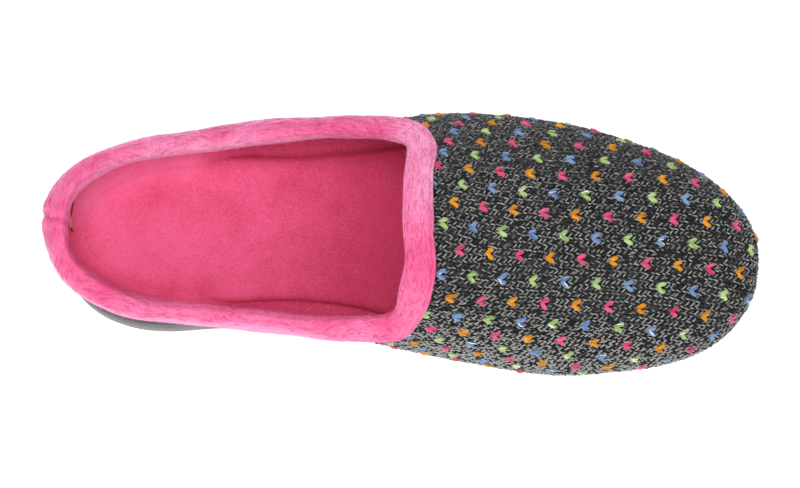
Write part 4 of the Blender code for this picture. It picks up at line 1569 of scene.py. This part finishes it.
@dataclass
class KnitUpper:
    """The knitted face of the upper: grey and charcoal stitches, and small coloured ones in a pattern."""

    shop: Shop
    ribs: Ribs
    collar: PlushCollar
    wale: float = 2.767
    course: float = 1.98
    # Line that the wales follow: place across at a place along, and its slope
    guide: Triple = (-6.6, 150.0, 0.03)
    guide_wale: int = 6
    # Bow of the courses: place of course 0, its foremost wale, depth and width of the curve
    bow: Row = (194.1, 8.1, 13.0, 30.0)
    rear: float = 56.0
    heading_step: float = 0.3
    # Level on the last at which the vamp's stitches end and those of its lower edge go on
    vamp_level: float = 0.995
    chart_repeat: int = 12
    under_hem: float = 1.2
    sink: float = 0.7
    # Rows of stitches round the lower edge: distances below the widest line, at the sides and round the toe
    side_rows: Row = (-1.5, 0.9, 3.3)
    toe_rows: Row = (-2.6, -0.7, 1.2, 3.1, 5.0)
    toe_from: float = 0.75
    # Number of the first of these rows, past those of the chart
    band_wale: int = 1000
    ply_twist: float = 0.34
    # Turn of the plies on the outer and on the inner leg of a stitch
    ply_turn: Pair = (-3.2, -0.9)
    grey_radius: float = 0.36
    # Part of the outer and of the inner leg on which the grey ply shows, its spread, and share of the legs
    grey_part: tuple[Pair, Pair] = ((0.18, 0.8), (0.26, 0.76))
    grey_vary: float = 0.08
    grey_shown: float = 0.93
    grey_tone: Pair = (0.66, 0.33)
    # Painted light and shade on the grey ply: paler on the medial side, where the light grazes the knit, and
    # darker on the lateral side, with the places across where each starts
    medial_painted_light: float = 0.7
    medial_painted_light_from: Pair = (22.0, 38.0)
    lateral_painted_shade: float = 0.52
    lateral_painted_shade_from: Pair = (12.0, 36.0)
    charcoal_radius: float = 0.48
    charcoal_share: float = 0.6
    leg_jitter: float = 0.07
    ply_phase: float = 1.25
    leg_taper: Row = (0.7, 1.0, 1.0, 0.7)
    # Place across at which the plain stitches are parted into two pieces
    parting: float = -4.0
    motif_strands: int = 4
    motif_radius: float = 0.38
    motif_spread: float = 0.5
    motif_twist: float = 2.4
    motif_jitter: float = 0.15
    motif_taper: Row = (0.75, 1.0, 1.05, 0.95, 0.6)
    motif_shares: Pair = (0.85, 1.1)
    motif_tone: Pair = (0.58, 0.32)
    loose_strands: int = 2
    loose_jitter: float = 0.32
    loose_radius: float = 0.08
    # White fibres: share of the legs, share of a strand's radius, tone
    glint_share: float = 0.45
    glint_radius: float = 0.6
    glint_tone: float = 2.0
    # Loose fibre ends: number, reach, rise and radius at the points of each
    hair_count: int = 2000
    hair_reach: Pair = (0.6, 1.8)
    hair_rise: Pair = (0.7, 1.7)
    hair_radius: Triple = (0.07, 0.06, 0.02)
    fibre_tones: Pair = (0.2, 1.0)
    # Give of the stretched knit, by wale and course from the guide in these units: powers of the wale and of
    # the course, shift along and shift across in mm
    stretch_unit: float = 20.0
    stretch: tuple[tuple[int, int, float, float], ...] = (
        (0, 0, 0.12, 0.04), (1, 0, -0.74, -0.72), (2, 0, -1.41, 0.26), (3, 0, 0, -1.55),
        (4, 0, 0, -1.24), (0, 1, -0.09, -0.43), (0, 2, 0.85, 0.01), (0, 3, 0, 0.35),
        (1, 1, -0.03, -0.99), (2, 1, 2.72, -2.58), (1, 2, 0, 2.74), (2, 2, 0, 3.21),
    )
    stretch_reach: Row = (-1.25, 0.65, -1.35, 1.5)
    seed: int = 5
    # Coloured stitches of one repeat: wale, course, yarn
    chart: tuple[tuple[int, int, MotifColour], ...] = (
        (0, 0, MotifColour.ORANGE), (0, 6, MotifColour.PINK), (3, 3, MotifColour.BLUE),
        (3, 9, MotifColour.GREEN), (6, 0, MotifColour.PINK), (6, 6, MotifColour.ORANGE),
        (9, 3, MotifColour.GREEN), (9, 9, MotifColour.BLUE),
    )
    # A stitch's leg from its loop to its end: share of a course along, share of a wale aside, mm out
    leg: tuple[Triple, ...] = (
        (-0.58, 0.03, -0.42), (-0.12, 0.17, 0.28), (0.36, 0.34, 0.36), (0.84, 0.46, -0.2),
    )
    # A coloured stitch's leg in mm
    motif_leg: tuple[Triple, ...] = (
        (-1.5, 0.12, 0), (-0.95, 0.42, 0.5), (0, 1.02, 0.66), (0.85, 1.44, 0.48), (1.35, 1.58, -0.1),
    )

    def stations(self, step: float = 0.5, toe: float = 235.0, closer: int = 140, gap: float = 0.02) -> Array:
        """Places along the shoe at which sections are taken.

        Args:
            step: Their distance.
            toe: Where closer ones start.
            closer: How many of them there are.
            gap: Distance of the last one from the toe's tip.

        Returns:
            The places.
        """
        tip = self.ribs.last.toe_tip - gap
        curve = toe + (tip - toe) * np.sin(np.linspace(0, math.pi / 2, closer))
        return np.concatenate([np.arange(self.rear, toe, step), curve])

    def across(self, x: Array, distance: Array, points: int = 120) -> Array:
        """Place across at a distance from the guide line over the last.

        Args:
            x: Places along the shoe.
            distance: For each, the distance from the guide, positive towards the medial side.
            points: Points of the section at each.

        Returns:
            The places, not a number past the widest line.
        """
        last = self.ribs.last
        start_y, start_x, slope = self.guide
        lateral, medial = last.edge_y(x, Side.LATERAL), last.edge_y(x, Side.MEDIAL)
        guide = np.clip(start_y + slope * (x - start_x), medial, lateral)
        edge = np.where(distance < 0, lateral, medial)
        share = np.sin(np.linspace(0, math.pi / 2, points))
        y = guide[:, None] + (edge - guide)[:, None] * share
        wide = np.repeat(x[:, None], y.shape[1], axis=1)
        arc = run_length(np.stack([wide, y, last.dome(wide, y)], axis=-1))
        return np.array([np.interp(abs(d), a, row, right=np.nan) for d, a, row in zip(distance, arc, y)])

    def wale_lines(self, first: int = -34, end: int = 30, least: int = 8) -> dict[int, Array]:
        """Lines of the wales on the last, from the rear to where they run off the edge.

        Args:
            first: The first wale that is tried, counted from the guide's.
            end: The wale after the last one that is tried.
            least: The points that a line has to have more of.

        Returns:
            The points of each wale, by its number.
        """
        x = self.stations()
        lines: dict[int, Array] = {}
        for number in range(self.guide_wale + first, self.guide_wale + end):
            y = self.across(x, np.full(len(x), (number - self.guide_wale) * self.wale))
            inside = np.isfinite(y)
            if inside.sum() > least:
                lines[number] = np.stack([x, y, self.ribs.last.dome(x, y)], axis=-1)[inside]
        return lines

    def give(self, wale: int, course: Array) -> ArrayPair:
        """How far the stretched knit shifts stitches of a wale.

        Args:
            wale: The wale's number.
            course: The stitches' numbers in it.

        Returns:
            The shifts along and across.
        """
        low_w, high_w, low_c, high_c = self.stretch_reach
        w = np.clip((wale - self.guide_wale) / self.stretch_unit, low_w, high_w)
        c = np.clip(course / self.stretch_unit, low_c, high_c)
        along = sum(a * w**i * c**j for i, j, a, _ in self.stretch)
        return along, sum(b * w**i * c**j for i, j, _, b in self.stretch)

    def surface_normal(self, points: Array, step: float = 0.04) -> Array:
        """Outward normal of the last under points near it, from heights a step away."""
        last = self.ribs.last
        x, y = points[:, 0], points[:, 1]
        tilt_x = (last.dome(x + step, y) - last.dome(x - step, y)) / (2 * step)
        tilt_y = (last.dome(x, y + step) - last.dome(x, y - step)) / (2 * step)
        return unit(np.stack([-tilt_x, -tilt_y, np.ones(len(x))], axis=-1))

    def shown(self, stitches: Stitches) -> Stitches:
        """The stitches that the cuff doesn't cover.

        Args:
            stitches: The stitches of a part.

        Returns:
            Those past the hem, and a few under it.
        """
        tree = KDTree(self.ribs.points[:, :, 0].size)
        drop = self.collar.outer_drop()
        flat = self.ribs.points.reshape(-1, 3)
        past = (self.ribs.along - drop[:, None]).ravel()
        for i, point in enumerate(flat):
            tree.insert(Vector(point), i)
        tree.balance()
        near = np.array([tree.find(Vector(point))[1] for point in stitches.points])
        return stitches.pick(past[near] > -self.under_hem)

    def dome_stitches(self) -> Stitches:
        """Stitches along the wales over the vamp."""
        first_x, bow_wale, bow_depth, bow_width = self.bow
        made = []
        for number, line in self.wale_lines().items():
            along = run_length(line)
            off = (number - bow_wale) * self.wale / bow_width
            zero = np.interp(first_x - bow_depth * (math.hypot(1.0, off) - 1.0), line[:, 0], along)
            last_course = math.floor((along[-1] - zero) / self.course)
            count = np.arange(math.ceil(-zero / self.course), last_course + 1)
            ahead, aside = self.give(number, count)
            x = np.interp(zero + count * self.course, along, line[:, 0]) + ahead
            y = self.across(x, (number - self.guide_wale) * self.wale + aside)
            keep = np.isfinite(y) & (x > line[0, 0]) & (x < line[-1, 0])
            x, y, count = x[keep], y[keep], count[keep]
            points = np.stack([x, y, self.ribs.last.dome(x, y)], axis=-1)
            before, after = (along_line(x + s * self.heading_step, line[:, 0], line) for s in (-1.0, 1.0))
            made.append(self.framed(points, after - before, self.surface_normal(points), number, count))
        return Stitches.together(made)

    def framed(self, points: Array, headings: Array, normals: Array, wale: int, courses: Array) -> Stitches:
        """Stitches of one wale or row, with square axes.

        Args:
            points: Their places on the surface.
            headings: The direction of the wale at each.
            normals: The surface's normals.
            wale: The wale's number.
            courses: The number of each in the wale.

        Returns:
            The stitches, sunk into the surface.
        """
        along = square_to(headings, normals)
        wales = np.full(len(points), wale)
        sunk = points - self.sink * normals
        return Stitches(sunk, along, np.cross(normals, along), normals, wales, courses)

    def band_stitches(self) -> Stitches:
        """Stitches of the narrow turn at the widest line: rows along the sides, wales down the toe."""
        ribs = self.ribs
        made = []
        rows = [(offset, self.course, False) for offset in self.side_rows]
        rows += [(offset, self.wale, True) for offset in self.toe_rows]
        for row, (offset, pitch, at_toe) in enumerate(rows):
            down = ribs.along[:, ribs.widest : ribs.widest + 1] + offset
            rings = [ribs.place(down + step, np.zeros(down.shape))[:, 0] for step in (0.0, 0.4)]
            rings.append(ribs.place(down, np.ones(down.shape))[:, 0])
            ring, lower, out = map(close_round, rings)
            along = run_length(ring)
            at = np.arange(0.0 if at_toe else 0.5 * row * pitch, along[-1], pitch)
            place, below, over = (along_line(at % along[-1], along, line) for line in (ring, lower, out))
            round_edge = unit(along_line((at + 0.5) % along[-1], along, ring) - place)
            keep = (np.abs(round_edge[:, 1]) > self.toe_from) == at_toe
            keep &= (place[:, 0] > ribs.last.toe_round) | (not at_toe)
            round_edge = round_edge * np.where(round_edge[:, :1] < 0, -1.0, 1.0)
            heading = below - place if at_toe else round_edge
            axes = (place[keep], heading[keep], unit(over - place)[keep])
            made.append(self.framed(*axes, self.band_wale + row, np.arange(keep.sum())))
        return Stitches.together(made)

    def legs(self, stitches: Stitches, shape: Array, rng: Chance, jitter: float) -> ArrayPair:
        """Centre lines of both legs of each stitch.

        Args:
            stitches: The stitches.
            shape: A leg's points in mm in the stitch's axes.
            rng: The source of chance.
            jitter: Spread of the points in mm.

        Returns:
            The lines, lateral legs first, and the normal at each leg.
        """
        lines = []
        for sign in (1.0, -1.0):
            offsets = np.repeat(shape[None] * np.array([1.0, sign, 1.0]), len(stitches.points), axis=0)
            offsets = offsets + rng.normal(0.0, jitter, offsets.shape)
            lines.append(stitches.local(offsets))
        return np.concatenate(lines), np.concatenate([stitches.normals] * 2)

    def plies(self, lines: Array, normals: Array, phase: Array, twist: Array | float, spread: float) -> Array:
        """Lines of one ply wound round each centre line.

        Args:
            lines: The centre lines.
            normals: The surface normal at each.
            phase: The angle at which each starts from the normal.
            twist: The turn over the line's length.
            spread: The distance from the centre line.

        Returns:
            The ply's lines.
        """
        heading = unit(np.gradient(lines, axis=1))
        out = square_to(normals[:, None], heading)
        side = np.cross(heading, out)
        angle = phase[:, None] + twist * np.linspace(-0.5, 0.5, lines.shape[1])
        return lines + spread * (np.cos(angle)[..., None] * out + np.sin(angle)[..., None] * side)

    def surfacing(self, lines: Array, rng: Chance) -> Array:
        """The part of each line along which the grey ply comes to the surface.

        Args:
            lines: Centre lines of the legs.
            rng: The source of chance.

        Returns:
            Lines over that part, with as many points.
        """
        steps = lines.shape[1] - 1
        part = np.repeat(self.grey_part, len(lines) // 2, axis=0)
        part = part + rng.normal(0.0, self.grey_vary, part.shape)
        first, last = part[:, :1], part[:, 1:]
        at = np.clip(first + (last - first) * np.linspace(0.0, 1.0, steps + 1), 0.0, 1.0) * steps
        low = np.minimum(at.astype(int), steps - 1)
        share = (at - low)[..., None]
        leg = np.arange(len(lines))[:, None]
        return lines[leg, low] * (1.0 - share) + lines[leg, low + 1] * share

    def ground(self, stitches: Stitches) -> None:
        """The grey and the charcoal ply of the plain stitches."""
        rng = np.random.default_rng(self.seed)
        shape = np.array(self.leg) * np.array([self.course, self.wale, 1.0])
        lines, normals = self.legs(stitches, shape, rng, self.leg_jitter)
        phase = rng.normal(0.0, self.ply_phase, len(lines))
        taper = np.array(self.leg_taper)
        turn = np.repeat(self.ply_turn, len(stitches.points))[:, None]
        grey = self.plies(self.surfacing(lines, rng), normals, phase, turn, self.ply_twist)
        charcoal = self.plies(lines, normals, phase + math.pi, turn, self.charcoal_share * self.ply_twist)
        across = lines[:, 0, 1]
        # Painted light on the medial side and painted shade on the lateral side
        painted_light_and_shade = self.medial_painted_light * ease(-across, *self.medial_painted_light_from)
        painted_light_and_shade = painted_light_and_shade - self.lateral_painted_shade * ease(across, *self.lateral_painted_shade_from)
        tone = np.clip(rng.normal(*self.grey_tone, len(lines)) + painted_light_and_shade, 0.0, 1.1)
        on_top = rng.random(len(lines)) < self.grey_shown
        everywhere = np.ones(len(lines), bool)
        side = np.sign(np.concatenate([stitches.points[:, 1]] * 2) - self.parting)
        plies = (
            ("grey", grey, self.grey_radius, tone, 3, on_top, GREY_PLY.build()),
            ("charcoal", charcoal, self.charcoal_radius, 1.0 - tone, 4, everywhere, CHARCOAL_PLY.build()),
        )
        for name, ply, thick, shade, sides, used, material in plies:
            for place in Side:
                keep = (side == place.value) & used
                bundle = (ply[keep], thick * taper[None], normals[keep], sides, shade[keep])
                piece = self.shop.strands(f"{name}_stitches_{place.name.lower()}", [bundle])
                self.shop.hand_over(piece, material, Slot.UPPER)

    def motifs(self, stitches: Stitches, yarn: MotifColour) -> None:
        """Makes the coloured stitches of one yarn, each leg of a few twisted strands with loose fibres.

        Args:
            stitches: The stitches.
            yarn: Their yarn.
        """
        rng = np.random.default_rng(self.seed + 1 + list(MotifColour).index(yarn))
        shape, taper = np.array(self.motif_leg), np.array(self.motif_taper)
        lines, normals = self.legs(stitches, shape, rng, self.motif_jitter)
        start = rng.uniform(0.0, 2 * math.pi, len(lines))
        made = []
        for strand in range(self.motif_strands):
            phase = start + strand * 2 * math.pi / self.motif_strands
            ply = self.plies(lines, normals, phase, self.motif_twist, self.motif_spread)
            glint = (rng.random(len(lines)) < self.glint_share / self.motif_strands) & yarn.glints
            radius = self.motif_radius * taper[None] * rng.uniform(*self.motif_shares, (len(lines), 1))
            radius = radius * np.where(glint, self.glint_radius, 1.0)[:, None]
            tone = np.clip(rng.normal(*self.motif_tone, len(lines)), 0.0, 1.0)
            made.append((ply, radius, normals, 6, np.where(glint, self.glint_tone, tone)))
        for _ in range(self.loose_strands):
            stray, normals = self.legs(stitches, shape, rng, self.loose_jitter)
            radius = np.array([[self.loose_radius]])
            made.append((stray, radius, normals, 3, rng.uniform(*self.fibre_tones, len(stray))))
        piece = self.shop.strands(f"{yarn.name.lower()}_stitches", made)
        self.shop.hand_over(piece, yarn.value.build(), Slot.UPPER)

    def hairs(self, stitches: Stitches) -> None:
        """Loose fibre ends that stand off the knit."""
        rng = np.random.default_rng(self.seed + 9)
        from_stitch = stitches.pick(rng.integers(0, len(stitches.points), self.hair_count))
        turn = rng.uniform(0, 2 * math.pi, self.hair_count)
        reach = rng.uniform(*self.hair_reach, self.hair_count)
        rise = rng.uniform(*self.hair_rise, self.hair_count)
        steps = np.array([0.0, 0.5, 1.0])
        bend = np.sin(steps * math.pi / 2)
        level = [(reach * part)[:, None] * steps for part in (np.cos(turn), np.sin(turn))]
        offsets = np.stack([*level, rise[:, None] * bend], axis=-1)
        tone = rng.uniform(*self.fibre_tones, self.hair_count)
        bundle = (from_stitch.local(offsets), np.array([self.hair_radius]), from_stitch.aside, 3, tone)
        piece = self.shop.strands("knit_fuzz", [bundle])
        self.shop.hand_over(piece, bpy.data.materials[GREY_PLY.name], Slot.UPPER)

    def build(self) -> None:
        """Makes the plain and coloured stitches and the fuzz."""
        vamp = self.shown(self.dome_stitches())
        level = self.ribs.last.level(vamp.points[:, 0], vamp.points[:, 1])
        vamp = vamp.pick(level < self.vamp_level)
        in_chart = {(w, c): yarn for w, c, yarn in self.chart}
        cells = list(zip(vamp.wale % self.chart_repeat, vamp.course % self.chart_repeat))
        yarns = np.array([in_chart[cell].name if cell in in_chart else "" for cell in cells])
        plain = vamp.pick(yarns == "")
        self.ground(Stitches.together([plain, self.shown(self.band_stitches())]))
        for yarn in MotifColour:
            self.motifs(vamp.pick(yarns == yarn.name), yarn)
        self.hairs(vamp)


@dataclass
class MouldedSole:
    """The rubber outsole: a side with a step under a pebbled rim, a lifted waist and a grooved tread."""

    shop: Shop
    last: Last
    stations: int = 420
    # Shares of even spacing and of closer spacing at the ends
    station_mix: Pair = (0.4, 0.6)
    top_points: int = 4
    tread_points: int = 26
    arch_lift: float = 3.2
    arch: Pair = (82.0, 138.0)
    toe_spring: float = 9.0
    spring_from: float = 206.0
    heel_bevel: float = 1.2
    bevel_to: float = 13.0
    groove_width: float = 2.2
    groove_depth: float = 1.4
    groove_slope: float = 0.3
    groove_fades: Pair = (8.0, 9.0)
    # Grooves: first place, pitch, number
    grooves: tuple[tuple[float, float, int], ...] = ((22.0, 11.0, 5), (145.0, 10.5, 7))
    rim_from: float = 0.68
    # Side from the ground up: share of the height, inset
    side: tuple[Pair, ...] = (
        (0, 3.2), (0.02, 2.1), (0.05, 1.2), (0.09, 0.5), (0.14, 0.1), (0.2, 0), (0.38, 0.2),
        (0.54, 0.45), (0.565, 0.75), (0.585, 1.5), (0.66, 1.5), (0.68, 0.9), (0.7, 0.6), (0.8, 0.5),
        (0.91, 0.6), (0.96, 0.9), (1, 1.6),
    )

    def underside(self, x: Array) -> Array:
        """Height of the tread: flat heel and forefoot, lifted waist, rising toe."""
        waist = np.clip((x - self.arch[0]) / (self.arch[1] - self.arch[0]), 0, 1)
        toe = np.clip((x - self.spring_from) / (self.last.length - self.spring_from), 0, None)
        heel = np.clip((self.bevel_to - x) / (self.bevel_to - self.last.sole_ends[0]), 0, None)
        rise = self.arch_lift * np.sin(math.pi * waist) ** 2
        return rise + self.toe_spring * toe**2 + self.heel_bevel * heel**2

    def net(self) -> ArrayPair:
        """Closed sections along the sole, and the rim mark of their points."""
        evenly, closer = self.station_mix
        back, tip = self.last.sole_ends[:2]
        x = evenly * np.linspace(back, tip, self.stations) + closer * spaced(back, tip, self.stations)
        x[0], x[-1] = back, tip
        ones = np.ones(self.stations)
        lateral, medial = self.last.sole_half(x, ones), self.last.sole_half(x, -ones)
        rows = np.array(self.side)
        outer = drawn_in(x, lateral, rows[:, 1])
        inner = drawn_in(x, -medial, rows[:, 1])
        top = np.linspace(0, 1, self.top_points + 2)[1:-1, None]
        tread = np.linspace(0, 1, self.tread_points + 2)[1:-1, None]
        top_plan = outer[:, -1:] * (1 - top) + inner[:, -1:] * top
        tread_plan = inner[:, :1] * (1 - tread) + outer[:, :1] * tread
        plan = np.concatenate([outer, top_plan, inner[:, ::-1], tread_plan], axis=1)
        on_top, on_tread = np.ones(self.top_points), np.zeros(self.tread_points)
        share = np.concatenate([rows[:, 0], on_top, rows[::-1, 0], on_tread])
        low, high = self.underside(plan[..., 0]), self.last.platform(plan[..., 0])
        z = low + share * (high - low)
        cut = self.groove_lift(tread_plan[..., 0], tread_plan[..., 1], lateral[:, None], medial[:, None])
        z[:, -self.tread_points :] += cut
        grid = np.concatenate([plan, z[..., None]], axis=-1)
        rim = ease(rows[:, 0], self.rim_from - 0.01, self.rim_from + 0.02)
        mark = np.concatenate([rim, on_top, rim[::-1], on_tread])
        return grid, np.tile(mark, (self.stations, 1))

    def groove_lift(self, x: Array, y: Array, lateral: Array, medial: Array) -> Array:
        """How far the tread is cut in, in bars across the heel and the forefoot.

        Args:
            x: Places along the sole.
            y: Places across it.
            lateral: Half width on the outer side.
            medial: Half width on the inner side.

        Returns:
            The depth at each place.
        """
        inside = ease(lateral - y, *self.groove_fades) * ease(y + medial, *self.groove_fades)
        half = self.groove_width / 2
        depth = np.zeros(np.broadcast(x, y).shape)
        for first, pitch, count in self.grooves:
            for k in range(count):
                off = np.abs(x - first - k * pitch)
                cut = 1.0 - ease(off, half - self.groove_slope, half + self.groove_slope)
                depth = np.maximum(depth, self.groove_depth * cut)
        return depth * inside

    def build(self, rubber: Material) -> None:
        """Makes the sole."""
        grid, mark = self.net()
        whole, rim = (np.concatenate([item, item[:, :1]], axis=1) for item in (grid, mark))
        piece = self.shop.wrapped_grid("moulded_sole", whole, rim)
        self.shop.hand_over(piece, rubber, Slot.OUTSOLE, "outsole")


@dataclass
class Studio:
    """A pale floor, soft light and the photograph's camera."""

    image: tuple[int, int] = (800, 488)
    azimuth: float = 3.4
    elevation: float = 82.5
    distance: float = 1.15
    pixel: float = 0.000363
    aim: Triple = (0.0, 0.0, 0.03)
    aim_pixels: Pair = (0.74, -10.56)
    sensor: float = 36.0
    floor_size: float = 6.0
    floor: str = "#f4f4f4"
    floor_glow: float = 0.5
    sky: str = "#ffffff"
    sky_strength: float = 0.65
    # Lamps: name, place, size, power
    lamps: tuple[tuple[str, Triple, float, float], ...] = (
        ("key_softbox", (-0.3, 0.12, 1.6), 1.0, 13.1),
        ("side_softbox", (0.25, -1.3, 0.75), 1.0, 8.4),
    )

    def axes(self) -> tuple[Vector, Vector, Vector]:
        """The camera's right, up and backward directions."""
        a, e = math.radians(self.azimuth), math.radians(self.elevation)
        back = Vector((math.sin(a) * math.cos(e), -math.cos(a) * math.cos(e), math.sin(e)))
        right = Vector((math.cos(a), math.sin(a), 0.0))
        return right, back.cross(right), back

    def camera(self) -> None:
        """Sets the camera where the photograph was taken."""
        right, up, back = self.axes()
        target = Vector(self.aim) - self.pixel * (self.aim_pixels[0] * right - self.aim_pixels[1] * up)
        data = bpy.data.cameras.new("camera")
        data.sensor_width = self.sensor
        data.lens = self.sensor * self.distance / self.pixel / self.image[0]
        camera = bpy.data.objects.new("camera", data)
        bpy.context.collection.objects.link(camera)
        turned = Matrix((right, up, back)).transposed().to_4x4()
        camera.matrix_world = Matrix.Translation(target + back * self.distance) @ turned
        bpy.context.scene.camera = camera

    def lamp(self, name: str, place: Triple, size: float, power: float) -> None:
        """Hangs a square soft light that faces the shoe.

        Args:
            name: The lamp's name.
            place: Where it hangs, in metres.
            size: The length of its sides in metres.
            power: Its power in watts.
        """
        data = bpy.data.lights.new(name, "AREA")
        data.size = size
        data.energy = power
        lamp = bpy.data.objects.new(name, data)
        bpy.context.collection.objects.link(lamp)
        lamp.location = place
        lamp.rotation_mode = "QUATERNION"
        lamp.rotation_quaternion = (Vector(self.aim) - Vector(place)).to_track_quat("-Z", "Y")

    def build(self) -> None:
        """Lays the floor and sets lights, sky and camera."""
        bpy.ops.object.select_all(action="DESELECT")
        bpy.ops.mesh.primitive_plane_add(size=self.floor_size, location=(0.0, 0.0, 0.0))
        floor = bpy.context.object
        floor.name = "floor"
        material, _, _ = start_material(
            "white_acrylic_light_table",
            {
                "Base Color": linear(self.floor),
                "Roughness": 0.95,
                "Specular IOR Level": 0.1,
                "Emission Color": linear(self.sky),
                "Emission Strength": self.floor_glow,
            },
        )
        floor.data.materials.append(material)
        world = bpy.data.worlds.new("studio")
        world.use_nodes = True
        sky = world.node_tree.nodes["Background"]
        sky.inputs["Color"].default_value = linear(self.sky)
        sky.inputs["Strength"].default_value = self.sky_strength
        bpy.context.scene.world = world
        for lamp in self.lamps:
            self.lamp(*lamp)
        self.camera()
        bpy.context.scene.view_settings.view_transform = "Standard"


def main() -> None:
    """Builds the slipper's pieces and its studio."""
    logging.basicConfig(level=logging.INFO, format="%(name)s %(message)s")
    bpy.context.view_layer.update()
    last = Last()
    shop = Shop(last)
    ribs = Ribs(last, 352)
    plush = COLLAR_PLUSH.build()
    footbed = INSOLE_PLUSH.build()
    MouldedSole(shop, last).build(RubberFinish().build())
    insole = PlushInsole(shop, last)
    insole.build(footbed)
    UpperShell(shop, ribs, insole).build(BACKING.build(), footbed)
    collar = PlushCollar(shop, ribs)
    collar.build(plush)
    SeamTape(shop).build(SEAM_TAPE_AND_PAINTED_SHADOW.build())
    KnitUpper(shop, ribs, collar).build()
    Studio().build()
    LOG.info("all pieces: %d triangles", shop.triangles)


if __name__ == "__main__":
    main()
